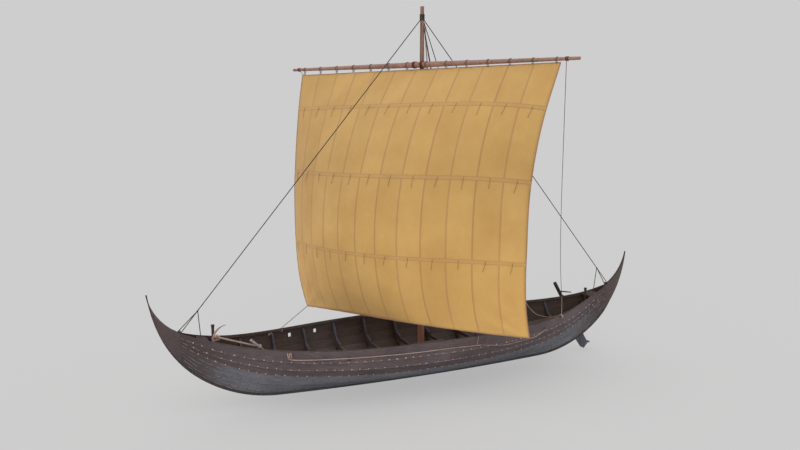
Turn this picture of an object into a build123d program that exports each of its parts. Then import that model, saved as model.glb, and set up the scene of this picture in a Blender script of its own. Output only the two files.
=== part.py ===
from build123d import *
import os
from math import asin, atan2, cos, pi, radians, sin, sqrt, tan

# Clinker-built sailing longship, in millimetres. Bow at -X, port at -Y, +Z up. The origin is
# amidships on the centre plane at the waterline. Heights are written above the keel's underside.

# Hull form
DRAUGHT = 840.0
HALF_LENGTH = 7000.0
BEAM = 3280.0
PLANK_END = HALF_LENGTH - 730.0
SIDING = 80.0
KEEL_DEPTH = 130.0
RABBET = 75.0
RABBET_SAG = 30.0
SHEER_HEIGHT = 1448.0
SHEER_SAG = -129.0
SHEER_RISE = 805.0
SHEER_SWEEP = 207.0
FULLNESS = 0.20
FINENESS = -0.66
SCARF_AT = HALF_LENGTH - 2700.0
SCARF_RUN = 160.0
TIP_HEIGHT = 2950.0
WING_BELOW_SHEER = 8.0
WING_SAG = 144.0
WING_STATIONS = 10
TIP_THICK = 36.0
TIP_BLUNT = 0.006
NOSE_THICK = 22.0
NOSE_FADES_BY = 1 / 3
STEP_FADE = 0.7
WING_CROWDING = 0.75

# Planking
PLANK = 25.0
PLANK_AT_END = 14.0
LAP = 45.0
LAP_AT_END = 22.0
SEAM_GAP = 0.4
BUTT_GAP = 0.8
SEAT_GAP = 0.4

# Each land: share of the inner half-breadth and of the height from rabbet to sheer, amidships
# and at the ends of the planks.
LANDS = [
    # breadth, height, end breadth, end height
    (0.171, 0.063, 0.10, 0.125),
    (0.343, 0.145, 0.21, 0.250),
    (0.514, 0.235, 0.33, 0.365),
    (0.673, 0.335, 0.45, 0.480),
    (0.819, 0.458, 0.58, 0.600),
    (0.921, 0.611, 0.71, 0.720),
    (0.975, 0.782, 0.85, 0.850),
    (1.000, 1.000, 1.00, 1.000),
]
STRAKES = len(LANDS)
HALF_STATION_COUNT = 10
STATION_SPREAD = 1.35
# Butts between the lengths of a strake, as shares of the way from amidships to the plank ends.
BUTTS_ODD = [-0.54, 0.03, 0.59]
BUTTS_EVEN = [-0.64, -0.11, 0.46]

# Oar ports through the top strake
PORT_WIDTH = 80.0
PORT_HEIGHT = 100.0
PORT_UP_STRAKE = 0.38
# Frame abaft which each port lies, and the share of the way to the next one.
OAR_PORTS = [(-4, 0.56), (-3, 0.39), (3, 0.62)]

# Framing
FRAME_SPACING = 930.0
FRAME_ORIGIN = -70.0
FRAMES_END = 1400.0
FRAMES_EACH_WAY = int((PLANK_END - FRAMES_END) // FRAME_SPACING)
FRAME_RANGE = range(-FRAMES_EACH_WAY, FRAMES_EACH_WAY + 1)
FRAME_SIDED = 70.0
FLOOR_DEPTH = 110.0
FLOOR_LAND = 5
THROAT = 190.0
BEAM_DEPTH = 90.0
BEAM_ABOVE_LAND = 12.0
KNEE_SIDED = 60.0
KNEE_REACH = 420.0
KNEE_SHARE = 0.45
KNEE_TOE = 40.0
KNEE_HEAD = 55.0
KNEE_BELOW_RAIL = 12.0
KNEE_CURVE_IN = 0.35
KNEE_CURVE_UP = 120.0
RAIL_WIDTH = 40.0
RAIL_HEIGHT = 70.0
RAIL_END = HALF_LENGTH - 1400.0
RAIL_JOINTS = [-0.34, 0.36]
KEELSON_HALF = 1500.0
KEELSON_WIDTH = 200.0
KEELSON_HEIGHT = 150.0
KEELSON_END_HEIGHT = 70.0
KEELSON_FULL_HALF = 675.0
STEP_DEPTH = 60.0
TENON_RADIUS = 66.5
CUT_PAST = 1.0
DECK_BOARD = 25.0
DECK_BOARDS = 5
DECK_CLEAR = 3.0
END_BEAMS = [1500.0 - HALF_LENGTH, HALF_LENGTH - 1430.0]
END_BEAM_SIDED = 60.0
END_BEAM_LAND = 6
END_BEAM_DEPTH = 66.0
END_BEAM_ABOVE_LAND = 16.0
HOOK_START = HALF_LENGTH - 1380.0
HOOK_LONG = 270.0
HOOK_THICK = 60.0
HOOK_BELOW_SHEER = 24.0

# Mast and rig
MAST_X = 94.0
MAST_FOOT_RADIUS = 95.0
MAST_HEAD_RADIUS = 52.0
MAST_HEAD_SQUARE = 0.70
MAST_TOP = 9860.0
BAND_HIGH = MAST_TOP - 200.0
BAND_LOW = BAND_HIGH - 160.0
BAND_WALL = 14.0
PARTNER_THICK = 80.0
PARTNER_WIDTH = 300.0
YARD_HEIGHT = MAST_TOP - 1480.0
YARD_HALF = 4400.0
YARD_RADIUS = 75.0
YARD_END_RADIUS = 38.0
YARD_SIDES = 16
YARD_AHEAD = 150.0
BRACED = 30.2
PARREL_HEIGHT = 110.0
PARREL_WALL = 18.0
PARREL_ARM = 0.6
PARREL_SHOULDER = 15.0
RUNNING_GAP = 0.5
SAIL_THICK = 10.0
ROBANDS = 14
ROBAND_WIDTH = 12.0
ROBAND_INSIDE_LEECH = 60.0
# Sail sections by drop below the yard: how far inside the yard's ends the leeches lie, how much
# higher the port leech is than the middle, and how far ahead of the mast the leeches and belly lie.
SAIL_LEVELS = [
    # drop, inside, lean, port_leech, starboard_leech, belly
    (6685.0, 900.0, 105.0, 520.0, 720.0, 1350.0),
    (5780.0, 900.0, 96.0, 800.0, 950.0, 1800.0),
    (4480.0, 900.0, 84.0, 950.0, 1150.0, 2150.0),
    (3180.0, 850.0, 71.0, 960.0, 1150.0, 2050.0),
    (1880.0, 750.0, 58.0, 850.0, 950.0, 1600.0),
    (880.0, 600.0, 48.0, 520.0, 560.0, 900.0),
    (120.0, 450.0, 40.0, 150.0, 150.0, 170.0),
]
STAY_RADIUS = 9.0
LEG_RADIUS = 6.0
KNOT_LONG = 46.0
KNOT_RADIUS = 16.2
BRIDLE_UP_WING = 0.06
BRIDLE_INTO_WING = 12.0
STAY_HEIGHT = BAND_HIGH - 80.0
FORE_KNOT = (1160.0 - HALF_LENGTH, 2470.0)
BACK_KNOT = (HALF_LENGTH - 1040.0, 2530.0)
SHROUD_FEET = [MAST_X + 856.0, MAST_X + 2256.0]
CLEAT_LONG = 120.0
CLEAT_HIGH = 60.0
CLEAT_INSET = 4.0

# Posts, rudder and anchor
POST_RADIUS = 34.0
POST_HEAD = 46.0
POST_HEAD_LONG = 90.0
BOW_POST_LONG = 604.0
STERN_POST_LONG = 447.0
RUDDER_OFF_HULL = 111.55
RUDDER_RAKE = 30.4
RUDDER_X = HALF_LENGTH - 1850.0
RUDDER_AT = SHEER_HEIGHT + 142.0
STOCK_RADIUS = 52.0
STOCK_HEAD = -530.0
STOCK_FOOT = 700.0
BLADE_THICK = 46.0
# Blade outline in the rudder's own plane: distance down the stock and distance abaft it.
BLADE = [
    # down, abaft
    (620.0, -52.0),
    (900.0, -150.0),
    (1509.0, -213.0),
    (1843.0, -178.0),
    (1945.0, -110.0),
    (1880.0, 90.0),
    (1925.0, 165.0),
    (1875.0, 170.0),
    (1790.0, 96.0),
    (1200.0, 84.0),
    (620.0, 52.0),
]
TILLER_DOWN = -205.0
TILLER_REACH = (0.110, -0.984, 0.146)
TILLER_LONG = 530.0
TILLER_RADIUS = 19.0
GRIP_RADIUS = 15.0
GRIP_LONG = 160.0
RING_WALL = 22.0
RING_HIGH = 60.0
BEARING_HIGH = 70.0
BEARING_LONG = 70.0
BEARING_TAPER = 0.6
BORE_REACH = 200.0
# Strake that carries each bearing of the rudder, and the share of the way up its outer face.
STRAP = (8, 0.767)
BOSS = (6, 0.342)
CROWN_UP_POST = 334.0
CROWN_OFF_POST = 16.0
SHANK_RADIUS = 24.0
SHANK_PAST_STOCK = 70.0
ARM_ALONG = 211.0
ARM_ACROSS = 336.0
ARM_LEAN = (0.352, 0.266, 0.896)
ARM_DEPTH = 44.0
ARM_THICK = 30.0
ARM_POINT = 8.0
STOCK_AT = -0.752
STOCK_INSIDE_SHEER = 60.0
STOCK_ABOVE_SHEER = 322.0
ANCHOR_STOCK_LEAN = (0.693, 0.205, -0.690)
ANCHOR_STOCK_RADIUS = 34.0
ANCHOR_STOCK_FOOT = 26.0
ANCHOR_STOCK_SIDES = 12
SHANK_DOWN_STOCK = 300.0


def at(x, y, height):
    return Vector(x, y, height - DRAUGHT)


def node(name, solids):
    export_step(Compound(children=list(solids)), f"parts/{name}.step")


def largest(shape):
    return max(shape.solids(), key=lambda solid: solid.volume)


def rod(start, end, radius, end_radius=None):
    plane = Plane(origin=start, z_dir=end - start)
    length = (end - start).length
    if end_radius is None or abs(end_radius - radius) < 0.01:
        return Solid.make_cylinder(radius, length, plane)
    return Solid.make_cone(radius, end_radius, length, plane)


def block(low, high):
    size = high - low
    return Solid.make_box(size.X, size.Y, size.Z, Plane(origin=low))


def prism(points, depth):
    """Solid from an outline, pushed along the vector depth."""
    return Solid.extrude(Face(Wire.make_polygon(points, close=True)), depth)


def between(sections):
    """Ruled solid through polygons that have like corners."""
    return Solid.make_loft([Wire.make_polygon(points, close=True) for points in sections], ruled=True)


def both_sides(solids):
    return list(solids) + [mirror(solid, about=Plane.XZ) for solid in solids]


# Underside on the centre plane: tangent arcs from amidships through these points to the tip.
PROFILE = [
    # distance from amidships, height
    (0.0, 0.0),
    (HALF_LENGTH - 3100.0, 78.0),
    (HALF_LENGTH - 1150.0, 780.0),
    (HALF_LENGTH - 270.0, 1910.0),
    (HALF_LENGTH, TIP_HEIGHT),
]


def tangent_arcs():
    """Centre and radius of each arc, every one leaving along the last one's direction."""
    arcs = []
    slope = 0.0
    for (x0, z0), (x1, z1) in zip(PROFILE, PROFILE[1:]):
        size = sqrt(1 + slope**2)
        normal = (-slope / size, 1 / size)
        dx, dz = x1 - x0, z1 - z0
        radius = (dx**2 + dz**2) / (2 * (dx * normal[0] + dz * normal[1]))
        centre = (x0 + normal[0] * radius, z0 + normal[1] * radius)
        arcs.append((centre, radius))
        slope = (x1 - centre[0]) / (centre[1] - z1)
    return arcs


ARCS = tangent_arcs()


def keel_line(x):
    """Height and slope of the underside at a distance from amidships."""
    away = abs(x)
    i = next(k for k in range(1, len(PROFILE)) if away <= PROFILE[k][0])
    (cx, cz), radius = ARCS[i - 1]
    drop = sqrt(radius**2 - (away - cx) ** 2)
    return cz - drop, (away - cx) / drop


def sheer(x):
    s = abs(x) / HALF_LENGTH
    return SHEER_HEIGHT + SHEER_SAG * s**2 + SHEER_RISE * s**4 + SHEER_SWEEP * s**6


def lands(x):
    """Inner corners of the strakes at a station, as (breadth, height), from the rabbet up."""
    s = x / PLANK_END
    root = SIDING / 2 + SEAM_GAP
    full = BEAM / 2 - PLANK - root
    breadth = full * (1 - s**2) * (1 + FULLNESS * s**2 + FINENESS * s**4)
    low, slope = keel_line(x)
    low += RABBET * sqrt(1 + slope**2) + RABBET_SAG * (1 - s**2)
    rise = sheer(x) - low
    ends = s**2
    points = [(root, low)]
    for wide, high, end_wide, end_high in LANDS:
        across = wide + (end_wide - wide) * ends
        up = high + (end_high - high) * ends
        points.append((root + across * breadth, low + up * rise))
    return points


def strake_sections(x):
    """Outline of each strake at a station: lower inner, upper inner, upper outer, bevel, lower outer."""
    s4 = (x / PLANK_END) ** 4
    thick = PLANK + (PLANK_AT_END - PLANK) * s4
    lap = LAP + (LAP_AT_END - LAP) * s4
    corners = lands(x)
    outlines = []
    start = corners[0]
    for i in range(STRAKES):
        top = corners[i + 1]
        angle = atan2(top[1] - start[1], top[0] - start[0])
        along = (cos(angle), sin(angle))
        out = (sin(angle), -cos(angle))
        bevel = 0.0
        following = start
        if i + 1 < STRAKES:
            above = corners[i + 2]
            turn = 0.0
            for _ in range(12):
                step = thick - lap * tan(turn)
                following = (top[0] + out[0] * step, top[1] + out[1] * step)
                turn = atan2(above[1] - following[1], above[0] - following[0]) - angle
            bevel = max(0.0, lap * tan(turn))
            lift = (sin(angle + turn) * SEAM_GAP, -cos(angle + turn) * SEAM_GAP)
            following = (following[0] + lift[0], following[1] + lift[1])
        reach = lap if i else 0.0
        low = (start[0] - along[0] * reach, start[1] - along[1] * reach)
        outlines.append([
            low,
            top,
            (top[0] + out[0] * (thick - bevel), top[1] + out[1] * (thick - bevel)),
            (top[0] + out[0] * thick - along[0] * lap, top[1] + out[1] * thick - along[1] * lap),
            (low[0] + out[0] * thick, low[1] + out[1] * thick),
        ])
        start = following
    return outlines


def half_stations():
    """Distances of the sections from amidships, closer together towards the ends."""
    shares = [k / HALF_STATION_COUNT for k in range(HALF_STATION_COUNT + 1)]
    return [PLANK_END * (1 - (1 - share) ** STATION_SPREAD) for share in shares]


STATIONS = sorted({sign * x for x in half_stations() for sign in (-1.0, 1.0)})
SECTIONS = [strake_sections(x) for x in STATIONS]


def section(x):
    """Strake outlines at any x, on the straight lines between stations."""
    i = next(k for k in range(1, len(STATIONS)) if x <= STATIONS[k] + 1e-6)
    share = (x - STATIONS[i - 1]) / (STATIONS[i] - STATIONS[i - 1])
    pairs = zip(SECTIONS[i - 1], SECTIONS[i])
    return [
        [(a[0] + (b[0] - a[0]) * share, a[1] + (b[1] - a[1]) * share) for a, b in zip(low, high)]
        for low, high in pairs
    ]


def directions(outline):
    """Unit vectors up a strake and out of the hull."""
    (y0, z0), (y1, z1) = outline[0], outline[1]
    length = sqrt((y1 - y0) ** 2 + (z1 - z0) ** 2)
    along = ((y1 - y0) / length, (z1 - z0) / length)
    return along, (along[1], -along[0])


def face_at(outline, height, inward=0.0, outer=False):
    """Breadth of a strake's inner or outer face at a height, moved inward."""
    a, b = (outline[4], outline[3]) if outer else (outline[0], outline[1])
    along, out = directions(outline)
    a = (a[0] - out[0] * inward, a[1] - out[1] * inward)
    b = (b[0] - out[0] * inward, b[1] - out[1] * inward)
    return a[0] + (b[0] - a[0]) * (height - a[1]) / (b[1] - a[1])


def up_strake(x, strake, share):
    """Height of a share of the way up the outer face of a strake."""
    outline = section(x)[strake - 1]
    return outline[4][1] + (outline[3][1] - outline[4][1]) * share


def joggle(x, first, last):
    """Inner side of the hull from the land under strake first to the one on strake last."""
    outlines = section(x)
    points = []
    for i in range(first, last + 1):
        along, out = directions(outlines[i - 1])
        above_along, above_out = directions(outlines[min(i, STRAKES - 1)])
        top = outlines[i - 1][1]
        edge = outlines[i - 1][2]
        points.append((top[0] + (along[0] - out[0]) * SEAT_GAP, top[1] + (along[1] - out[1]) * SEAT_GAP))
        points.append((
            edge[0] + (along[0] - above_out[0]) * SEAT_GAP,
            edge[1] + (along[1] - above_out[1]) * SEAT_GAP,
        ))
    return points


def at_station(x, points, side=1):
    return [at(x, side * y, height) for y, height in points]


# Planking
def planks(number):
    butts = BUTTS_ODD if number % 2 else BUTTS_EVEN
    ends = [-PLANK_END] + [share * PLANK_END for share in butts] + [PLANK_END]
    pieces = []
    for start, end in zip(ends, ends[1:]):
        low = start + (BUTT_GAP / 2 if start > -PLANK_END else 0.0)
        high = end - (BUTT_GAP / 2 if end < PLANK_END else 0.0)
        stations = [low] + [x for x in STATIONS if low < x < high] + [high]
        pieces.append(between([at_station(x, section(x)[number - 1]) for x in stations]))
    return pieces


def frame_x(k):
    return FRAME_ORIGIN + k * FRAME_SPACING


def top_strake():
    pieces = planks(STRAKES)
    for k, share in OAR_PORTS:
        x = frame_x(k + share)
        middle = up_strake(x, STRAKES, PORT_UP_STRAKE)
        cutter = block(
            at(x - PORT_WIDTH / 2, BEAM / 4, middle - PORT_HEIGHT / 2),
            at(x + PORT_WIDTH / 2, BEAM / 2 + PLANK, middle + PORT_HEIGHT / 2),
        )
        pieces = [piece - cutter for piece in pieces]
    return [solid for piece in pieces for solid in piece.solids()]


# Keel and stems
def side_arc(sign, *points):
    return Edge.make_three_point_arc(*[at(sign * x, -SIDING / 2, z) for x, z in points])


def side_lines(sign, points):
    corners = [at(sign * x, -SIDING / 2, z) for x, z in points]
    return [Edge.make_line(a, b) for a, b in zip(corners, corners[1:])]


def underside(x):
    return x, keel_line(x)[0]


def keel_top(x):
    low, slope = keel_line(x)
    return low + KEEL_DEPTH * sqrt(1 + slope**2)


# Upper edge of the stem inside the hull: distance from amidships and height added to the keel's depth.
STEM_BACK = [
    (SCARF_AT - SCARF_RUN, 0.0),
    (HALF_LENGTH - 2100.0, 20.0),
    (HALF_LENGTH - 1440.0, 40.0),
    (HALF_LENGTH - 990.0, 60.0),
]


def spine_top(x):
    """Height of the upper edge of keel or stem."""
    away = abs(x)
    if away <= STEM_BACK[0][0]:
        return keel_top(away)
    i = next(k for k in range(1, len(STEM_BACK)) if away <= STEM_BACK[k][0])
    (x0, add0), (x1, add1) = STEM_BACK[i - 1], STEM_BACK[i]
    z0, z1 = keel_top(x0) + add0, keel_top(x1) + add1
    return z0 + (z1 - z0) * (away - x0) / (x1 - x0)


def keel():
    knee = PROFILE[1][0]
    inner = SCARF_AT - SCARF_RUN
    middle = (SCARF_AT + knee) / 2
    outline = []
    for sign in (-1, 1):
        outline.append(side_arc(sign, underside(0), underside(knee / 2), underside(knee)))
        outline.append(side_arc(sign, underside(knee), underside(middle), underside(SCARF_AT)))
        outline += side_lines(sign, [underside(SCARF_AT), (inner, keel_top(inner)), (knee, keel_top(knee))])
        top = [(x, keel_top(x)) for x in (knee, knee / 2, 0)]
        outline.append(side_arc(sign, *top))
    return Solid.extrude(Face(Wire(outline)), Vector(0, SIDING, 0))


# The carved wing of each stem stands on the ends of the planks and carries their steps on to the tip.
WING_FOOT = (PLANK_END + SEAM_GAP, sheer(PLANK_END) - WING_BELOW_SHEER)


def wing_back(share):
    """Point on the wing's inner edge, an arc from its foot to the tip."""
    (x0, z0), (x1, z1) = WING_FOOT, (HALF_LENGTH, TIP_HEIGHT)
    half = sqrt((x1 - x0) ** 2 + (z1 - z0) ** 2) / 2
    radius = (half**2 + WING_SAG**2) / (2 * WING_SAG)
    sweep = asin(half / radius)
    angle = sweep * (2 * share - 1)
    along = radius * sin(angle) / (2 * half) + 0.5
    sag = (radius * cos(angle) - radius + WING_SAG) / (2 * half)
    return x0 + (x1 - x0) * along + (z1 - z0) * sag, z0 + (z1 - z0) * along - (x1 - x0) * sag


def wing_section(sign, share):
    """Stepped outline across the wing, from the leading edge to the inner edge and back."""
    front_x = WING_FOOT[0] + (HALF_LENGTH - WING_FOOT[0]) * share
    front_z, slope = keel_line(front_x)
    back_x, back_z = wing_back(share**WING_CROWDING)
    first, last = keel_line(WING_FOOT[0])[0], WING_FOOT[1]
    heights = [z for _, z in lands(PLANK_END)]
    places = [(min(z, last) - first) / (last - first) for z in heights]
    half = SIDING / 2 + (TIP_THICK - SIDING) / 2 * share
    step = PLANK_AT_END * (1 - STEP_FADE * share)
    nose = min(SIDING, NOSE_THICK + (SIDING - NOSE_THICK) * max(0.0, 1 - share / NOSE_FADES_BY)) / 2
    side = [(0.0, min(nose, half)), (places[0], half)]
    for low, high in zip(places, places[1:]):
        side += [(low, half + 2 * step), (high, half + step)]
    points = [(place, y) for place, y in side] + [(place, -y) for place, y in reversed(side)]
    return [
        at(sign * (front_x + (back_x - front_x) * place), y, front_z + (back_z - front_z) * place)
        for place, y in points
    ]


def wing(sign):
    shares = [k / (WING_STATIONS - 1) * (1 - TIP_BLUNT) for k in range(WING_STATIONS)]
    return between([wing_section(sign, share) for share in shares])


def stem(sign):
    foot = SCARF_AT + SEAM_GAP
    ends = [foot, PROFILE[2][0], WING_FOOT[0]]
    outline = []
    for x0, x1 in zip(ends, ends[1:]):
        outline.append(side_arc(sign, underside(x0), underside((x0 + x1) / 2), underside(x1)))
    back = [(x + SEAM_GAP, keel_top(x) + add) for x, add in reversed(STEM_BACK)]
    outline += side_lines(sign, [underside(WING_FOOT[0]), WING_FOOT] + back + [underside(foot)])
    return Solid.extrude(Face(Wire(outline)), Vector(0, SIDING, 0)) + wing(sign)


# Frames
def beam_heights(x, land=FLOOR_LAND):
    above, depth = BEAM_ABOVE_LAND, BEAM_DEPTH
    if land == END_BEAM_LAND:
        above, depth = END_BEAM_ABOVE_LAND, END_BEAM_DEPTH
    low = section(x)[land - 1][1][1] + above
    return low, low + depth


def sided(x, width, outline_at):
    """Ruled solid between the two faces of a frame piece, bent where the planks bend."""
    low, high = x - width / 2, x + width / 2
    places = [low] + [s for s in STATIONS if low < s < high] + [high]
    return between([outline_at(place) for place in places])


def floor_timber(x):
    level = beam_heights(x)[0] - SEAT_GAP
    base = max(spine_top(x - FRAME_SIDED / 2), spine_top(x + FRAME_SIDED / 2)) + SEAT_GAP
    throat = keelson_heights()[0] - SEAT_GAP if abs(x) < KEELSON_HALF else base + THROAT

    def outline(here):
        outlines = section(here)
        right = [(face_at(outlines[0], base, SEAT_GAP), base)]
        right += joggle(here, 1, FLOOR_LAND)
        head = face_at(outlines[FLOOR_LAND], level, SEAT_GAP)
        right.append((head, level))
        right.append((head - FLOOR_DEPTH, level))
        for land in (4, 2):
            top = outlines[land - 1][1]
            _, out = directions(outlines[land - 1])
            right.append((top[0] - out[0] * FLOOR_DEPTH, top[1] - out[1] * FLOOR_DEPTH))
        right.append((KEELSON_WIDTH / 2, throat))
        left = [(-y, z) for y, z in reversed(right)]
        return at_station(here, right + left)

    return sided(x, FRAME_SIDED, outline)


def crossbeam(x, land=FLOOR_LAND):
    low, high = beam_heights(x, land)

    def outline(here):
        strake = section(here)[land]
        right = [(face_at(strake, z, SEAT_GAP), z) for z in (low, high)]
        return at_station(here, right + [(-y, z) for y, z in reversed(right)])

    return sided(x, FRAME_SIDED if land == FLOOR_LAND else END_BEAM_SIDED, outline)


def knee(x):
    base = beam_heights(x)[1] + SEAT_GAP
    level = sheer(x) - RAIL_HEIGHT - KNEE_BELOW_RAIL

    def outline(here):
        outlines = section(here)
        foot = face_at(outlines[FLOOR_LAND], base, SEAT_GAP)
        reach = min(KNEE_REACH, foot * KNEE_SHARE)
        head = face_at(outlines[STRAKES - 1], level, SEAT_GAP)
        points = [(foot - reach, base), (foot, base)]
        points += joggle(here, FLOOR_LAND + 1, STRAKES - 1)
        points += [(head, level), (head - KNEE_HEAD, level)]
        points += [(foot - reach * KNEE_CURVE_IN, base + KNEE_CURVE_UP), (foot - reach, base + KNEE_TOE)]
        return at_station(here, points)

    return sided(x, KNEE_SIDED, outline)


def rail():
    ends = [-RAIL_END] + [share * RAIL_END for share in RAIL_JOINTS] + [RAIL_END]
    pieces = []
    for start, end in zip(ends, ends[1:]):
        stations = [start + BUTT_GAP / 2] + [x for x in STATIONS if start < x < end] + [end - BUTT_GAP / 2]
        outlines = []
        for x in stations:
            strake = section(x)[STRAKES - 1]
            along, out = directions(strake)
            top = (strake[1][0] - out[0] * SEAT_GAP, strake[1][1] - out[1] * SEAT_GAP)
            low = (top[0] - along[0] * RAIL_HEIGHT, top[1] - along[1] * RAIL_HEIGHT)
            inner_low = (low[0] - out[0] * RAIL_WIDTH, low[1] - out[1] * RAIL_WIDTH)
            inner_top = (top[0] - out[0] * RAIL_WIDTH, top[1] - out[1] * RAIL_WIDTH)
            outlines.append(at_station(x, [low, top, inner_top, inner_low]))
        pieces.append(between(outlines))
    return pieces


def rail_top(x):
    """Middle of the rail's upper face."""
    strake = section(x)[STRAKES - 1]
    _, out = directions(strake)
    middle = SEAT_GAP + RAIL_WIDTH / 2
    return strake[1][0] - out[0] * middle, strake[1][1] - out[1] * middle


def rail_cleat(x):
    def outline(here):
        y, z = rail_top(here)
        along, out = directions(section(here)[STRAKES - 1])
        half = RAIL_WIDTH / 2 - CLEAT_INSET
        low = [
            (y + out[0] * k + along[0] * SEAT_GAP, z + out[1] * k + along[1] * SEAT_GAP) for k in (-half, half)]
        high = [(a + along[0] * CLEAT_HIGH, b + along[1] * CLEAT_HIGH) for a, b in reversed(low)]
        return at_station(here, low + high)

    return sided(x, CLEAT_LONG, outline)


def hook_level(x):
    """Upper face of the breasthook."""
    return section(x)[STRAKES - 1][1][1] - HOOK_BELOW_SHEER


def breasthook(sign):
    def outline(here):
        strake = section(here)[STRAKES - 1]
        top = hook_level(here)
        right = [(face_at(strake, z, SEAT_GAP), z) for z in (top - HOOK_THICK, top)]
        return at_station(here, right + [(-y, z) for y, z in reversed(right)])

    return sided(sign * (HOOK_START + HOOK_LONG / 2), HOOK_LONG, outline)


def deck_level(k, x):
    """Underside of the deck boards between beams k and k + 1, resting on an edge of each beam."""
    low_x, high_x = sorted((frame_x(k), frame_x(k + 1)), key=abs)
    low, high = beam_heights(low_x)[1], beam_heights(high_x)[1]
    toward = 1 if high_x > low_x else -1
    edge_x = high_x - toward * FRAME_SIDED / 2
    return low + SEAT_GAP + (high - low) * (x - low_x) / (edge_x - low_x)


def deck(bays):
    boards = []
    for k in bays:
        corners = []
        for x in (frame_x(k) + BUTT_GAP, frame_x(k + 1) - BUTT_GAP):
            level = deck_level(k, x)
            foot = face_at(section(x)[FLOOR_LAND], level, SEAT_GAP)
            reach = min(KNEE_REACH, foot * KNEE_SHARE)
            corners.append((x, foot - reach - 3 * DECK_CLEAR, level))
        for n in range(DECK_BOARDS):
            outlines = []
            for x, half, level in corners:
                width = 2 * half / DECK_BOARDS
                y0 = -half + n * width + DECK_CLEAR / 2
                y1 = y0 + width - DECK_CLEAR
                high = level + DECK_BOARD
                outlines.append([at(x, y, z) for y, z in ((y0, level), (y1, level), (y1, high), (y0, high))])
            boards.append(between(outlines))
    return boards


# Mast, yard and sail
def keelson_heights():
    low = keel_top(KEELSON_HALF) + THROAT + SEAT_GAP
    return low, low + KEELSON_HEIGHT


def keelson():
    low, high = keelson_heights()
    half = KEELSON_WIDTH / 2
    end = KEELSON_HALF
    right = [(end, low), (end, low + KEELSON_END_HEIGHT), (KEELSON_FULL_HALF, high)]
    outline = right + [(-x, z) for x, z in reversed(right)]
    body = prism([at(x, -half, z) for x, z in outline], Vector(0, KEELSON_WIDTH, 0))
    hole = rod(at(MAST_X, 0, high - STEP_DEPTH), at(MAST_X, 0, high + CUT_PAST), TENON_RADIUS + RUNNING_GAP)
    return body - hole


def mast_radius(height):
    foot = keelson_heights()[1]
    share = (height - foot) / (MAST_TOP - foot)
    return MAST_FOOT_RADIUS + (MAST_HEAD_RADIUS - MAST_FOOT_RADIUS) * share


def mast():
    foot = keelson_heights()[1] + SEAT_GAP
    tenon = rod(at(MAST_X, 0, foot - STEP_DEPTH), at(MAST_X, 0, foot + CUT_PAST), TENON_RADIUS)
    pole = rod(at(MAST_X, 0, foot), at(MAST_X, 0, BAND_HIGH), mast_radius(foot), mast_radius(BAND_HIGH))
    side = mast_radius(BAND_HIGH) * MAST_HEAD_SQUARE
    head = block(at(MAST_X - side, -side, BAND_HIGH - CUT_PAST), at(MAST_X + side, side, MAST_TOP))
    return (pole + tenon) + head


def masthead_band():
    radius = mast_radius(BAND_LOW)
    ring = rod(at(MAST_X, 0, BAND_LOW), at(MAST_X, 0, BAND_HIGH), radius + BAND_WALL)
    core = rod(at(MAST_X, 0, BAND_LOW - CUT_PAST), at(MAST_X, 0, BAND_HIGH + CUT_PAST), radius + SEAT_GAP)
    return ring - core


def partner():
    low = max(beam_heights(frame_x(k))[1] for k in (0, 1)) + SEAT_GAP
    high = low + PARTNER_THICK
    half = PARTNER_WIDTH / 2
    start, end = frame_x(0) - FRAME_SIDED / 2, frame_x(1) + FRAME_SIDED / 2
    plank = block(at(start, -half, low), at(end, half, high))
    hole = rod(at(MAST_X, 0, low - CUT_PAST), at(MAST_X, 0, high + CUT_PAST), mast_radius(low) + RUNNING_GAP)
    return plank - hole


def rig(u, v, height):
    """Point by distance out along the yard to port, distance ahead of the mast and height."""
    a = radians(BRACED)
    return at(MAST_X + u * sin(a) - v * cos(a), -u * cos(a) - v * sin(a), height)


def yard_radius(u):
    return YARD_RADIUS + (YARD_END_RADIUS - YARD_RADIUS) * abs(u) / YARD_HALF


def yard(extra=0.0):
    """Hewn spar with many flats, one of them underneath, grown by extra."""
    rings = []
    for u in (-YARD_HALF - extra, 0.0, YARD_HALF + extra):
        radius = yard_radius(u) + extra
        turns = [2 * pi * (k + 0.5) / YARD_SIDES for k in range(YARD_SIDES)]
        rings.append([rig(u, YARD_AHEAD + radius * sin(t), YARD_HEIGHT + radius * cos(t)) for t in turns])
    return between(rings)


def parrel():
    low = YARD_HEIGHT - PARREL_HEIGHT / 2
    high = YARD_HEIGHT + PARREL_HEIGHT / 2
    inner = mast_radius(low) + RUNNING_GAP
    ring = rod(at(MAST_X, 0, low), at(MAST_X, 0, high), inner + PARREL_WALL)
    half = inner * PARREL_ARM
    base = low + PARREL_SHOULDER
    corners = ((-half, 0), (half, 0), (half, YARD_AHEAD), (-half, YARD_AHEAD))
    arm = prism([rig(u, v, base) for u, v in corners], Vector(0, 0, PARREL_HEIGHT - 2 * PARREL_SHOULDER))
    core = rod(at(MAST_X, 0, low - CUT_PAST), at(MAST_X, 0, high + CUT_PAST), inner)
    return (ring + arm) - core - yard(SEAT_GAP)


def sail_arc(level, back):
    drop, inside, lean, port, starboard, belly = level
    half = YARD_HALF - inside
    middle = YARD_HEIGHT - drop
    points = ((half, port, middle + lean), (0.0, belly, middle), (-half, starboard, middle - lean))
    return [rig(u, v - back, height) for u, v, height in points]


def sail():
    wires = []
    for level in SAIL_LEVELS:
        front = sail_arc(level, -SAIL_THICK / 2)
        rear = sail_arc(level, SAIL_THICK / 2)
        wires.append(Wire([
            Edge.make_three_point_arc(*front),
            Edge.make_line(front[2], rear[2]),
            Edge.make_three_point_arc(rear[2], rear[1], rear[0]),
            Edge.make_line(rear[0], front[0]),
        ]))
    return Solid.make_loft(wires, ruled=True)


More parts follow.
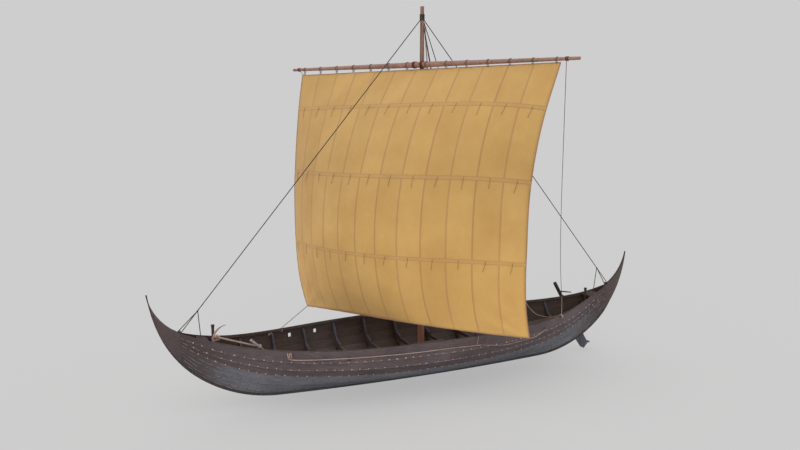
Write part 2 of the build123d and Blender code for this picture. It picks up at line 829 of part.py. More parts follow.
def robands():
    """Ties from the sail's head up to the flat underneath the yard."""
    drop, inside, lean = SAIL_LEVELS[-1][:3]
    half = YARD_HALF - inside
    reach = half - ROBAND_INSIDE_LEECH
    wide = ROBAND_WIDTH / 2
    ties = []
    for n in range(ROBANDS):
        u = -reach + 2 * reach * n / (ROBANDS - 1)
        low = YARD_HEIGHT - drop + lean * (u + wide) / half + SEAT_GAP
        high = YARD_HEIGHT - yard_radius(u) * cos(pi / YARD_SIDES) - SEAT_GAP
        corners = ((-wide, -wide), (wide, -wide), (wide, wide), (-wide, wide))
        ties.append(prism([rig(u + a, YARD_AHEAD + b, low) for a, b in corners], Vector(0, 0, high - low)))
    return ties


# Rudder
RUDDER_SIDE = face_at(section(RUDDER_X)[STRAKES - 1], sheer(RUDDER_X), outer=True) + RUDDER_OFF_HULL


def stock_point(down, abaft=0.0, side=RUDDER_SIDE):
    a = radians(RUDDER_RAKE)
    return at(
        RUDDER_X + down * sin(a) + abaft * cos(a), side, RUDDER_AT - down * cos(a) + abaft * sin(a))


def rudder():
    stock = rod(stock_point(STOCK_HEAD), stock_point(STOCK_FOOT), STOCK_RADIUS)
    face = RUDDER_SIDE - BLADE_THICK / 2
    blade = prism([stock_point(down, abaft, face) for down, abaft in BLADE], Vector(0, BLADE_THICK, 0))
    return stock + blade


def tiller(stock_solid):
    root = stock_point(TILLER_DOWN)
    reach = Vector(*TILLER_REACH).normalized()
    grip = root + reach * (TILLER_LONG - GRIP_LONG)
    bar = rod(root, grip, TILLER_RADIUS) - stock_solid
    return largest(bar) + rod(grip, root + reach * TILLER_LONG, GRIP_RADIUS)


def bearing(seat):
    """Ring round the stock on a block that sits on the outside of one strake."""
    strake, share = seat
    down = 0.0
    for _ in range(12):
        level = up_strake(stock_point(down).X, strake, share)
        down = (RUDDER_AT - level) / cos(radians(RUDDER_RAKE))
    centre = stock_point(down)
    axis = (stock_point(down + 1.0) - centre).normalized()
    ring = rod(centre - axis * (RING_HIGH / 2), centre + axis * (RING_HIGH / 2), STOCK_RADIUS + RING_WALL)
    middle = centre.Z + DRAUGHT
    half = BEARING_HIGH / 2

    def outline(here):
        outer = section(here)[strake - 1]
        points = [(face_at(outer, z, -SEAT_GAP, outer=True), z) for z in (middle - half, middle + half)]
        points += [(RUDDER_SIDE, middle + half * BEARING_TAPER), (RUDDER_SIDE, middle - half * BEARING_TAPER)]
        return at_station(here, points)

    arm = sided(centre.X, BEARING_LONG, outline)
    bore = rod(centre - axis * BORE_REACH, centre + axis * BORE_REACH, STOCK_RADIUS + RUNNING_GAP)
    return (ring + arm) - bore


# Anchor, with its crown at the bow post and its stock standing on the fore deck
def anchor_stock_ends():
    top_x = STOCK_AT * PLANK_END
    top = at(top_x, STOCK_INSIDE_SHEER - lands(top_x)[-1][0], SHEER_HEIGHT + STOCK_ABOVE_SHEER)
    lean = Vector(*ANCHOR_STOCK_LEAN).normalized()
    foot = top
    for _ in range(12):
        bay = int((foot.X - FRAME_ORIGIN) // FRAME_SPACING)
        start, end = frame_x(bay), frame_x(bay + 1)
        slope = (deck_level(bay, end) - deck_level(bay, start)) / (end - start)
        normal = Vector(-slope, 0, 1).normalized()
        lift = (ANCHOR_STOCK_FOOT * sqrt(1 - lean.dot(normal) ** 2) + SEAT_GAP) / normal.Z
        deck_top = deck_level(bay, foot.X) + DECK_BOARD
        foot = top + lean * ((deck_top - DRAUGHT + lift - top.Z) / lean.Z)
    return top, foot


def post_foot(x):
    return beam_heights(x, END_BEAM_LAND)[1] + SEAT_GAP


def mooring_post(x, long):
    foot = post_foot(x)
    top = foot + long
    head = rod(at(x, 0, top - POST_HEAD_LONG), at(x, 0, top), POST_RADIUS, POST_HEAD)
    return rod(at(x, 0, foot), at(x, 0, top), POST_RADIUS) + head


def anchor_crown():
    reach = POST_RADIUS + SHANK_RADIUS + CROWN_OFF_POST
    return at(END_BEAMS[0], -reach, post_foot(END_BEAMS[0]) + CROWN_UP_POST)


def anchor():
    """Shank and one crescent of two arms, forged flat and drawn out to blunt points."""
    crown = anchor_crown()
    top, foot = anchor_stock_ends()
    joint = top + (foot - top).normalized() * SHANK_DOWN_STOCK
    along = (joint - crown).normalized()
    lean = Vector(*ARM_LEAN)
    up = (lean - along * along.dot(lean)).normalized()
    flat = along.cross(up)
    start = crown - flat * (ARM_THICK / 2)

    def place(a, b):
        return start + along * a + up * b

    tips = [place(ARM_ALONG, side * ARM_ACROSS) for side in (1, -1)]
    inner_tips = [place(ARM_ALONG, side * (ARM_ACROSS - ARM_POINT)) for side in (1, -1)]
    outline = [
        Edge.make_three_point_arc(tips[0], place(-ARM_DEPTH / 2, 0.0), tips[1]),
        Edge.make_line(tips[1], inner_tips[1]),
        Edge.make_three_point_arc(inner_tips[1], place(ARM_DEPTH / 2, 0.0), inner_tips[0]),
        Edge.make_line(inner_tips[0], tips[0]),
    ]
    arms = Solid.extrude(Face(Wire(outline)), flat * ARM_THICK)
    return rod(crown, joint + along * SHANK_PAST_STOCK, SHANK_RADIUS) + arms


def anchor_stock(shank):
    """Hewn bar that tapers to its foot, cut out round the shank."""
    top, foot = anchor_stock_ends()
    planes = [Plane(origin=end, z_dir=foot - top, x_dir=Vector(0, 1, 0)) for end in (top, foot)]
    rings = []
    for plane, radius in zip(planes, (ANCHOR_STOCK_RADIUS, ANCHOR_STOCK_FOOT)):
        turns = [2 * pi * k / ANCHOR_STOCK_SIDES for k in range(ANCHOR_STOCK_SIDES)]
        rings.append([plane.from_local_coords((radius * cos(t), radius * sin(t), 0)) for t in turns])
    return between(rings) - shank


def main():
    os.makedirs("parts", exist_ok=True)

    node("keel", [keel()])
    node("bow_stem", [stem(-1)])
    node("stern_stem", [stem(1)])
    for number in range(1, STRAKES):
        node(f"strake_{number}", both_sides(planks(number)))
    node(f"strake_{STRAKES}", both_sides(top_strake()))

    frames = [frame_x(k) for k in FRAME_RANGE]
    node("floor_timbers", [floor_timber(x) for x in frames])
    node("crossbeams", [crossbeam(x) for x in frames])
    node("end_beams", [crossbeam(x, END_BEAM_LAND) for x in END_BEAMS])
    node("knees", both_sides([knee(x) for x in frames]))
    node("gunwale_rails", both_sides(rail()))
    node("breasthooks", [breasthook(-1), breasthook(1)])
    node("keelson", [keelson()])
    node("mast_partner", [partner()])
    first, last = FRAME_RANGE[0], FRAME_RANGE[-1]
    node("fore_deck", deck([first, first + 1]))
    node("aft_deck", deck([last - 2, last - 1]))

    pole = mast()
    band = masthead_band()
    node("mast", [pole])
    node("masthead_band", [band])

    node("yard", [yard()])
    node("parrel", [parrel()])
    node("sail", [sail()])
    node("robands", robands())

    cleats = [rail_cleat(x) for x in SHROUD_FEET]
    node("shroud_cleats", both_sides(cleats))
    top = at(MAST_X, 0, STAY_HEIGHT)
    shrouds = []
    for x, cleat in zip(SHROUD_FEET, cleats):
        y, z = rail_top(x)
        shrouds.append(largest(rod(at(x, y, z + CLEAT_HIGH / 2), top, STAY_RADIUS) - cleat - band - pole))
    node("shrouds", both_sides(shrouds))

    for name, knot, sign in (("forestay", FORE_KNOT, -1), ("backstay", BACK_KNOT, 1)):
        junction = at(knot[0], 0, knot[1])
        stay = largest(rod(junction, top, STAY_RADIUS) - band - pole)
        node(name, [stay])
        foot_x, foot_z = wing_back(BRIDLE_UP_WING)
        foot = at(sign * (foot_x + BRIDLE_INTO_WING), 0, foot_z - BRIDLE_INTO_WING)
        leg_x = sign * (HOOK_START + HOOK_LONG / 2)
        leg_foot = at(leg_x, 0, hook_level(leg_x))
        direction = (top - junction).normalized()
        knot_foot = junction - direction * KNOT_LONG
        knot = rod(knot_foot, junction + direction * (KNOT_LONG / 2), KNOT_RADIUS)
        stem_solid = stem(sign)
        hook = breasthook(sign)
        leg_head = knot_foot + direction * STAY_RADIUS
        legs = [rod(leg_head, foot, LEG_RADIUS), rod(leg_head, leg_foot, LEG_RADIUS)]
        bridle = (knot + legs[0] + legs[1]) - stem_solid - hook - stay
        node(f"{name}_bridle", [largest(bridle)])

    node("bow_post", [mooring_post(END_BEAMS[0], BOW_POST_LONG)])
    node("stern_post", [mooring_post(END_BEAMS[1], STERN_POST_LONG)])

    blade = rudder()
    node("rudder", [blade])
    node("tiller", [tiller(blade)])
    node("rudder_strap", [bearing(STRAP)])
    node("rudder_boss", [bearing(BOSS)])

    iron = anchor()
    node("anchor", [iron])
    node("anchor_stock", [largest(anchor_stock(iron))])


main()
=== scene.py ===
import random
from math import asin, atan2, ceil, cos, pi, radians, sin, sqrt

import bmesh
import bpy
import numpy as np
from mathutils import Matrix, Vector, noise


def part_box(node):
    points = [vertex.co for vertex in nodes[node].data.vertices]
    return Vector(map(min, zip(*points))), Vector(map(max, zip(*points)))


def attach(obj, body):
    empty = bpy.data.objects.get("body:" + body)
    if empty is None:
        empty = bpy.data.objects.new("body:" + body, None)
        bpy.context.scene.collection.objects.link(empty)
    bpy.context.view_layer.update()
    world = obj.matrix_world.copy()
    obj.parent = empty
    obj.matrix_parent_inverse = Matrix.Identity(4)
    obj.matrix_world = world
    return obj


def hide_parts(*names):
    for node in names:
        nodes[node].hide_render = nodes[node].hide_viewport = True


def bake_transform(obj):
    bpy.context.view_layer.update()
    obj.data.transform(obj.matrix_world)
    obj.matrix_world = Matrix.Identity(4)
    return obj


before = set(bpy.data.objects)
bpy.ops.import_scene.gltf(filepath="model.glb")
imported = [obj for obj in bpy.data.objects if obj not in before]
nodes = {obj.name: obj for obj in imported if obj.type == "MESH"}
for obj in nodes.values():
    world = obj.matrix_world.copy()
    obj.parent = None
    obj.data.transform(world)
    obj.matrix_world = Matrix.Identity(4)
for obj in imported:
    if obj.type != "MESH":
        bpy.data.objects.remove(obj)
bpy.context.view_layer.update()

# Looks of the clinker-built sailing longship. Metres, bow at -X, port at -Y, +Z up, the origin
# amidships at the waterline. Heights written as "height" are above the keel's underside.
random.seed(7)

# Places read from the frame
DRAUGHT = -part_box("keel")[0].z
PLANK_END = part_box("strake_4")[1].x
MAST_X = sum(corner.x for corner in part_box("mast")) / 2
YARD_HEIGHT = sum(corner.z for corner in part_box("yard")) / 2 + DRAUGHT

# Yard
YARD_AHEAD = 0.150
BRACED = radians(30.2)
YARD_HALF = 4.40
YARD_RADIUS = 0.075
YARD_END_RADIUS = 0.038

# The photograph's view
CAMERA_AT = (-8.74, -18.37, 6.36)
CAMERA_PAN = 24.08
CAMERA_DOWN = 8.41
LENS = 34.66
SENSOR = 36.0
BACKDROP = 206
FLOOR_BELOW_RUDDER = 0.02
# Share of the floor's light that comes from the whole sky; the rest comes from a broad lamp.
WORLD_LIGHT = 0.80
# Share of its own flat colour that the camera sees mixed into the floor
SHADOW_FAINT = 0.65
SUN_LEAN = radians(36)
SUN_TURN = radians(-44)
SUN_SIZE = radians(60)
FLOOR_HALF = 400.0

# Sail
PANELS = 12
SEAM_WIDTH = 0.036
BAND_WIDTH = 0.080
BAND_EDGE = 0.014
# Height of each reef band's middle, and how far its ends dip
REEF_BANDS = [(7.36, 0.15), (5.64, 0.12), (3.68, 0.10)]
POINT_LENGTH = 0.27
POINT_RADIUS = 0.0040
# The sail by height of its middle: how much higher its port leech is, how far the leeches and the
# belly lie ahead of the mast, and how far out along the yard the leeches lie.
SAIL_LEVELS = [
    # height, lean, port_ahead, starboard_ahead, belly, port_out, starboard_out
    (1.695, 0.105, 0.520, 0.720, 1.350, 3.508, 3.501),
    (2.000, 0.102, 0.620, 0.800, 1.508, 3.505, 3.538),
    (2.600, 0.096, 0.800, 0.950, 1.800, 3.524, 3.564),
    (3.250, 0.090, 0.902, 1.072, 2.025, 3.551, 3.538),
    (3.900, 0.084, 0.950, 1.150, 2.150, 3.586, 3.503),
    (4.550, 0.078, 0.971, 1.175, 2.150, 3.607, 3.492),
    (5.200, 0.071, 0.960, 1.150, 2.050, 3.631, 3.505),
    (5.850, 0.065, 0.935, 1.084, 1.879, 3.694, 3.519),
    (6.500, 0.058, 0.850, 0.950, 1.600, 3.766, 3.584),
    (7.000, 0.053, 0.709, 0.778, 1.288, 3.813, 3.684),
    (7.500, 0.048, 0.520, 0.560, 0.900, 3.868, 3.818),
    (7.900, 0.044, 0.331, 0.350, 0.526, 3.906, 3.942),
    (8.260, 0.040, 0.150, 0.150, 0.170, 3.933, 4.061),
]
FOOT_HOLLOW = 0.22
FOOT_SKEW = 0.3
SAIL_WIDTH = 7.2

# Planking: texture width at which the faces other than the outer one start
INNER_FACE = 1.0

# Rivets
RIVET_STEP = 0.205
RIVET_ABOVE_EDGE = 0.024
RIVET_RADIUS = 0.0155
RIVET_HEIGHT = 0.007
RIVET_SWAY = 0.02
RIVETS_END = 6.05
RIVET_SIDES = 8
# Rings of a rivet's head: share of its radius and of its height
RIVET_RINGS = [(1.0, -0.15), (0.86, 0.45), (0.45, 0.88)]

# Ropes
STRANDS = 3
STRAND_DEPTH = 0.10
STAY_RADIUS = 0.0125
LEG_RADIUS = 0.0115
SHEET_RADIUS = 0.009
LINE_RADIUS = 0.008
EDGE_RADIUS = 0.012
TIE_RADIUS = 0.006

AHEAD, ACROSS, UP = Vector((1, 0, 0)), Vector((0, 1, 0)), Vector((0, 0, 1))


def at(x, y, height):
    return Vector((x, y, height - DRAUGHT))


def rig(u, v, height):
    """Point by distance out along the yard to port, distance ahead of the mast and height."""
    return at(MAST_X + u * sin(BRACED) - v * cos(BRACED), -u * cos(BRACED) - v * sin(BRACED), height)


def linear(red, green, blue):
    """Colour for a shader from the 0 to 255 values that it should show."""
    def channel(value):
        share = value / 255
        return share / 12.92 if share <= 0.04045 else ((share + 0.055) / 1.055) ** 2.4
    return (channel(red), channel(green), channel(blue), 1.0)


# Meshes
def linked(name, data):
    made = bpy.data.objects.new(name, data)
    bpy.context.scene.collection.objects.link(made)
    return made


class Shape:
    """Points and faces that are gathered into one mesh."""

    def __init__(self):
        self.points, self.faces, self.uvs, self.tones = [], [], [], []

    def add(self, points, faces, pairs=None, tone=0.5, back=False):
        """pairs has a list for each face, with a texture pair for each of its points."""
        start = len(self.points)
        self.points += points
        self.tones += [tone] * len(faces)
        way = -1 if back else 1
        for face, uvs in zip(faces, pairs or [[(0.0, 0.0)] * len(face) for face in faces]):
            self.faces.append(tuple(start + i for i in face[::way]))
            self.uvs += uvs[::way]

    def grid(self, points, pairs, columns, back=False, tone=0.5):
        """Faces between rows of points, with one texture pair for each point."""
        faces = [(a, a + 1, a + columns + 1, a + columns)
                 for a in range(len(points) - columns) if (a + 1) % columns]
        self.add(points, faces, [[pairs[i] for i in face] for face in faces], tone, back)

    def piece(self, name, material, body, slot):
        """Mesh object that rides on a body."""
        mesh = bpy.data.meshes.new(name)
        mesh.from_pydata([tuple(p) for p in self.points], [], self.faces)
        mesh.materials.append(material)
        layer = mesh.uv_layers.new(name="UVMap")
        layer.data.foreach_set("uv", [value for pair in self.uvs for value in pair])
        layer = mesh.attributes.new("tone", "FLOAT", "FACE")
        layer.data.foreach_set("value", self.tones)
        mesh.validate()
        mesh.shade_smooth()
        mesh.set_sharp_from_angle(angle=radians(40))
        made = linked(name, mesh)
        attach(made, body)
        return made


def ring_quads(rings, sides):
    """Faces between closed rings of points that follow one another."""
    edges = [(ring * sides + k, ring * sides + (k + 1) % sides)
             for ring in range(rings - 1) for k in range(sides)]
    return [(a, b, b + sides, a + sides) for a, b in edges]


def frames_along(path):
    """Side and up vectors that turn as little as they can along a path."""
    tangents = []
    for i in range(len(path)):
        before, after = path[max(i - 1, 0)], path[min(i + 1, len(path) - 1)]
        tangents.append((after - before).normalized())
    first = UP if abs(tangents[0].z) < 0.9 else AHEAD
    side = tangents[0].cross(first).normalized()
    frames = []
    for tangent in tangents:
        side = (side - tangent * side.dot(tangent)).normalized()
        frames.append((side, tangent.cross(side)))
    return frames


def resampled(path, step):
    """Points at even spacing on straight runs between the path's points."""
    lengths = [0.0]
    for a, b in zip(path, path[1:]):
        lengths.append(lengths[-1] + (b - a).length)
    count = max(2, ceil(lengths[-1] / step) + 1)
    made = []
    i = 1
    for k in range(count):
        here = lengths[-1] * k / (count - 1)
        while i < len(path) - 1 and lengths[i] < here:
            i += 1
        share = (here - lengths[i - 1]) / max(lengths[i] - lengths[i - 1], 1e-9)
        made.append(path[i - 1].lerp(path[i], min(share, 1.0)))
    return made


def curved(points, steps=8):
    """Smooth path through a few points."""
    points = [Vector(p) for p in points]
    path = []
    for i in range(len(points) - 1):
        a, b = points[max(i - 1, 0)], points[i]
        c, d = points[i + 1], points[min(i + 2, len(points) - 1)]
        for k in range(steps):
            t = k / steps
            path.append(0.5 * (2 * b + (c - a) * t + (2 * a - 5 * b + 4 * c - d) * t**2
                               + (3 * b - a - 3 * c + d) * t**3))
    path.append(points[-1])
    return path


def laid_rope(shape, path, radius, sides=8):
    """Three-strand rope along a path, its strands turning once in six diameters."""
    pitch = 12 * radius
    path = resampled([Vector(p) for p in path], pitch / 6)
    points, gone = [], [0.0]
    for i, (centre, (side, up)) in enumerate(zip(path, frames_along(path))):
        if i:
            gone.append(gone[-1] + (centre - path[i - 1]).length)
        turn = 2 * pi * gone[i] / pitch
        for k in range(sides):
            angle = 2 * pi * k / sides
            reach = radius * (1 - STRAND_DEPTH + STRAND_DEPTH * cos(STRANDS * (angle - turn)))
            points.append(centre + side * (cos(angle) * reach) + up * (sin(angle) * reach))
    pairs = [[(start, k / sides), (start, (k + 1) / sides), (end, (k + 1) / sides), (end, k / sides)]
             for start, end in zip(gone, gone[1:]) for k in range(sides)]
    pairs += [[(0.0, 0.0)] * sides, [(gone[-1], 0.0)] * sides]
    last = len(points) - sides
    faces = ring_quads(len(path), sides) + [range(sides)[::-1], range(last, last + sides)]
    shape.add(points, faces, pairs)


def lashing(shape, centre, axis, across, radius, turns, line, spread):
    """Turns of rope round a bar: axis is the bar's direction, across a direction over it."""
    axis = Vector(axis).normalized()
    across = Vector(across)
    across = (across - axis * across.dot(axis)).normalized()
    third = axis.cross(across)
    steps = 14
    path = []
    for k in range(turns * steps + 1):
        angle = 2 * pi * k / steps
        along = (k / (turns * steps) - 0.5) * spread
        path.append(centre + axis * along + across * (cos(angle) * radius) + third * (sin(angle) * radius))
    laid_rope(shape, path, line, 6)


# Materials
EVEN = (1, 1, 1)
# Places on a noise between which a finish goes from its dark to its light colour
SPAN = (0.30, 0.72)
PLANK_SPAN = (0.26, 0.74)
# Heights over which the rudder takes its colours under the water
UNDER_WATER = (0.25, -0.15)
# Distances from amidships over which the planks turn browner
BROWN_ENDS = (4.7, 6.1)
# Share of a carved step by which its light line grows on the way to the tip
LINE_GROWS = 0.20
# Painted light on the sail, lifting the shade of its lower belly: heights over which it brightens, how
# much of the tint it takes, and the tint
SAIL_LIT_HEIGHTS = (5.5, 0.5)
SAIL_LIT_SHARE = 0.8
SAIL_LIT_TINT = (1.55, 1.50, 1.34, 1.0)


def scaled(colour, factor):
    """Shader colour of 0 to 255 values, made lighter or darker."""
    return tuple(factor * value for value in linear(*colour)[:3]) + (1.0,)


class Tree:
    """Short calls for the nodes of one tree."""

    def __init__(self, tree):
        self.tree = tree

    def node(self, kind, inputs=(), **settings):
        made = self.tree.nodes.new(kind)
        for key, value in settings.items():
            setattr(made, key, value)
        for key, value in dict(inputs).items():
            self.feed(made.inputs[key], value)
        return made

    def feed(self, socket, value):
        if isinstance(value, bpy.types.NodeSocket):
            self.tree.links.new(value, socket)
        else:
            socket.default_value = value

    def math(self, operation, a, b=0.0):
        return self.node("ShaderNodeMath", {0: a, 1: b}, operation=operation).outputs[0]


class Finish(Tree):
    """One material and short calls for its looks."""

    def __init__(self, name, roughness, specular=0.35, metallic=0.0):
        self.material = bpy.data.materials.new(name)
        self.material.use_nodes = True
        super().__init__(self.material.node_tree)
        self.shader = self.tree.nodes["Principled BSDF"]
        self.shader.inputs["Roughness"].default_value = roughness
        self.shader.inputs["Specular IOR Level"].default_value = specular
        self.shader.inputs["Metallic"].default_value = metallic

    def coordinates(self, kind="Object", scale=EVEN, turned=(0, 0, 0)):
        source = self.node("ShaderNodeTexCoord").outputs[kind]
        moved = self.node("ShaderNodeMapping", {"Vector": source, "Scale": scale, "Rotation": turned})
        return moved.outputs["Vector"]

    def split(self, vector):
        return self.node("ShaderNodeSeparateXYZ", {"Vector": vector}).outputs

    def place(self, axis):
        """Place along one axis of the ship."""
        return self.split(self.coordinates())[axis]

    def tone(self):
        """The tone that a piece gives to each of its faces."""
        return self.node("ShaderNodeAttribute", attribute_name="tone").outputs["Fac"]

    def noise(self, kind, stretch, scale, detail, rough=0.55, distortion=0.0, turned=(0, 0, 0)):
        return self.node("ShaderNodeTexNoise", {
            "Vector": self.coordinates(kind, stretch, turned), "Scale": scale, "Detail": detail,
            "Roughness": rough, "Distortion": distortion}).outputs["Fac"]

    def times(self, a, b):
        return self.math("MULTIPLY", a, b)

    def plus(self, a, b):
        return self.math("ADD", a, b)

    def between(self, value, low, high):
        """0 at low and 1 at high, held outside them."""
        made = self.node("ShaderNodeMapRange", {"Value": value, "From Min": low, "From Max": high},
                         interpolation_type="SMOOTHSTEP")
        return made.outputs["Result"]

    def ramp(self, value, low, high):
        """Colour between two stops, each a place and a colour."""
        made = self.node("ShaderNodeValToRGB", {"Fac": value})
        for element, (place, colour) in zip(made.color_ramp.elements, (low, high)):
            element.position = place
            element.color = colour
        return made.outputs["Color"]

    def shades(self, value, span, dark, light):
        return self.ramp(value, (span[0], linear(*dark)), (span[1], linear(*light)))

    def mix(self, share, a, b, blend="MIX"):
        made = self.node("ShaderNodeMix", data_type="RGBA", blend_type=blend)
        self.feed(made.inputs["Factor"], share)
        self.feed(made.inputs[6], a)
        self.feed(made.inputs[7], b)
        return made.outputs[2]

    def tinted(self, colour, value, low, high):
        """Colour times a tint between two stops."""
        return self.mix(1.0, colour, self.ramp(value, low, high), "MULTIPLY")

    def colour(self, socket):
        self.feed(self.shader.inputs["Base Color"], socket)

    def rough(self, value, low, high):
        made = self.node("ShaderNodeMapRange", {"Value": value, "To Min": low, "To Max": high})
        self.feed(self.shader.inputs["Roughness"], made.outputs["Result"])

    def bump(self, height, distance, strength):
        made = self.node("ShaderNodeBump", {"Height": height, "Distance": distance, "Strength": strength})
        self.feed(self.shader.inputs["Normal"], made.outputs["Normal"])


def wood(name, dark, light, along, roughness=0.78, turned=(0, 0, 0), streak=0.5, foot=None):
    """Weathered wood whose grain runs along one axis of the ship, or of a turned frame.

    foot holds a second dark and light colour, for the part under the water.
    """
    finish = Finish(name, roughness)
    stretch = {"x": (0.5, 9, 9), "y": (9, 0.5, 9), "z": (9, 9, 0.5)}[along]
    grain = finish.noise("Object", stretch, 4.0, 6.0, 0.62, 0.6, turned)
    fine = finish.noise("Object", tuple(6 * s for s in stretch), 4.0, 3.0, turned=turned)
    patches = finish.noise("Object", EVEN, 1.7, 3.0)
    body = finish.shades(grain, SPAN, dark, light)
    if foot:
        low = finish.between(finish.place(2), *UNDER_WATER)
        body = finish.mix(low, body, finish.shades(grain, SPAN, *foot))
    body = finish.tinted(body, patches, (0.35, (0.80, 0.80, 0.82, 1)), (0.70, (1.12, 1.10, 1.08, 1)))
    cracks = finish.times(finish.between(fine, 0.62, 0.74), streak)
    finish.colour(finish.mix(cracks, body, scaled(dark, 0.45)))
    finish.rough(grain, roughness - 0.10, min(1.0, roughness + 0.12))
    finish.bump(finish.plus(grain, finish.times(fine, 0.5)), 0.004, 0.6)
    return finish.material


def rope(name, dark, light):
    """Laid fibres: bands that follow the rope's own length and turn."""
    finish = Finish(name, 0.9, 0.2)
    fibres = finish.noise("UV", (90, 14, 1), 3.0, 3.0)
    blotch = finish.noise("Object", EVEN, 6.0, 2.0)
    both = finish.plus(finish.times(fibres, 0.6), finish.times(blotch, 0.4))
    finish.colour(finish.shades(both, (0.32, 0.66), dark, light))
    finish.bump(fibres, 0.002, 0.7)
    return finish.material


def planking(name, dark, light, ends, worn_and_lit):
    """Tarred planks: grain along each plank, a lower edge paled by wear and painted highlight, scratches,
    browner towards the stems.
    """
    finish = Finish(name, 0.74)
    across = finish.split(finish.coordinates("UV"))[1]
    streaks = finish.noise("UV", (1.1, 22, 1), 3.0, 7.0, 0.65, 0.8)
    fine = finish.noise("UV", (5, 130, 1), 3.0, 3.0)
    patches = finish.noise("Object", (0.8, 1.6, 1.6), 1.3, 4.0)
    body = finish.shades(streaks, PLANK_SPAN, dark, light)
    uneven = finish.times(finish.math("SUBTRACT", patches, 0.5), 1.6)
    away = finish.plus(finish.math("ABSOLUTE", finish.place(0)), uneven)
    brown = finish.ramp(streaks, (PLANK_SPAN[0], linear(*ends)), (PLANK_SPAN[1], scaled(ends, 1.5)))
    body = finish.mix(finish.between(away, *BROWN_ENDS), body, brown)
    body = finish.tinted(body, patches, (0.30, (0.82, 0.82, 0.84, 1)), (0.72, (1.16, 1.13, 1.12, 1)))
    body = finish.tinted(body, finish.tone(), (0.0, (0.86, 0.86, 0.87, 1)), (1.0, (1.14, 1.12, 1.11, 1)))
    inside = finish.times(finish.between(across, INNER_FACE - 0.3, INNER_FACE - 0.2), 0.85)
    body = finish.mix(inside, body, finish.shades(streaks, PLANK_SPAN, (46, 36, 33), (84, 68, 60)))
    # The paler lower edge of each plank's outer face is partly wear and partly a painted highlight along
    # the lap.
    rubs = finish.noise("UV", (3.2, 30, 1), 2.0, 4.0)
    rubbed_and_lit = finish.times(finish.between(across, 0.028, 0.004), finish.between(rubs, 0.46, 0.60))
    body = finish.mix(finish.times(rubbed_and_lit, 0.75), body, linear(*worn_and_lit))
    lines = finish.noise("UV", (1.6, 55, 1), 2.2, 2.0, turned=(0, 0, 0.012))
    scratch = finish.times(finish.between(lines, 0.66, 0.71), finish.between(patches, 0.48, 0.60))
    finish.colour(finish.mix(finish.times(scratch, 0.55), body, linear(*worn_and_lit)))
    finish.rough(streaks, 0.62, 0.88)
    finish.bump(finish.plus(streaks, finish.times(fine, 0.35)), 0.005, 0.6)
    return finish.material


def carved(name, dark, light, line):
    """Dark stem with light brown lines along the carved steps, running on to the tip: partly wear, partly
    painted highlight on the step edges.
    """
    finish = Finish(name, 0.74)
    along, level, _ = finish.split(finish.coordinates("UV"))
    grain = finish.noise("UV", (3.0, 4.0, 1), 4.0, 6.0, 0.65, 0.8)
    body = finish.shades(grain, (0.28, 0.72), dark, light)
    edge = finish.math("ABSOLUTE", finish.math("SUBTRACT", finish.math("FRACT", level), 0.5))
    # The steps narrow towards the tip, so a line keeps its width by taking a greater share of them.
    wide = finish.plus(edge, finish.times(along, LINE_GROWS))
    # The lines on the step edges are partly wear and partly a painted highlight where the edges catch the
    # light.
    worn_and_lit = finish.between(finish.plus(wide, finish.times(grain, 0.10)), 0.45, 0.50)
    middle = finish.times(finish.between(edge, 0.055, 0.02), 0.5)
    lines = finish.times(finish.math("MAXIMUM", worn_and_lit, middle), 0.6)
    finish.colour(finish.mix(lines, body, linear(*line)))
    finish.bump(grain, 0.004, 0.6)
    return finish.material


def iron(name, colour, roughness, metallic):
    """Small fittings: one colour, mottled and slightly pitted."""
    finish = Finish(name, roughness, 0.4, metallic)
    mottle = finish.noise("Object", EVEN, 30.0, 4.0)
    finish.colour(finish.ramp(mottle, (0.3, scaled(colour, 0.75)), (0.7, scaled(colour, 1.25))))
    finish.bump(mottle, 0.002, 0.5)
    return finish.material


def sailcloth(name, base, light, stain):
    """Ochre woven cloth: weave, cloth widths of slightly different tone, mottling and stains."""
    finish = Finish(name, 0.88, 0.12)
    finish.shader.inputs["Sheen Weight"].default_value = 0.15
    finish.shader.inputs["Sheen Roughness"].default_value = 0.6
    clouds = finish.noise("Object", EVEN, 1.1, 6.0, 0.6)
    slubs = finish.noise("UV", (2.4, 60, 1), 3.0, 3.0)
    warp = finish.noise("UV", (70, 1.2, 1), 3.0, 3.0)
    weave = finish.plus(finish.times(slubs, 0.5), finish.times(warp, 0.5))
    body = finish.shades(clouds, SPAN, base, light)
    body = finish.tinted(body, weave, (0.30, (0.93, 0.92, 0.90, 1)), (0.70, (1.06, 1.06, 1.07, 1)))
    body = finish.tinted(body, finish.tone(), (0.0, (0.96, 0.95, 0.94, 1)), (1.0, (1.04, 1.04, 1.05, 1)))
    # Painted light: the cloth is brightened towards the foot, against the shade on its lower belly.
    low = finish.times(finish.between(finish.place(2), *SAIL_LIT_HEIGHTS), SAIL_LIT_SHARE)
    body = finish.mix(low, body, SAIL_LIT_TINT, "MULTIPLY")
    spots = finish.between(finish.noise("Object", EVEN, 2.3, 5.0, 0.7), 0.62, 0.80)
    finish.colour(finish.mix(finish.times(spots, 0.35), body, linear(*stain)))
    checks = finish.node("ShaderNodeTexWave", {
        "Vector": finish.coordinates("UV"), "Scale": 60.0, "Distortion": 0.6},
        wave_type="BANDS", bands_direction="Y").outputs["Fac"]
    finish.bump(finish.plus(weave, finish.times(checks, 0.3)), 0.002, 0.5)
    return finish.material


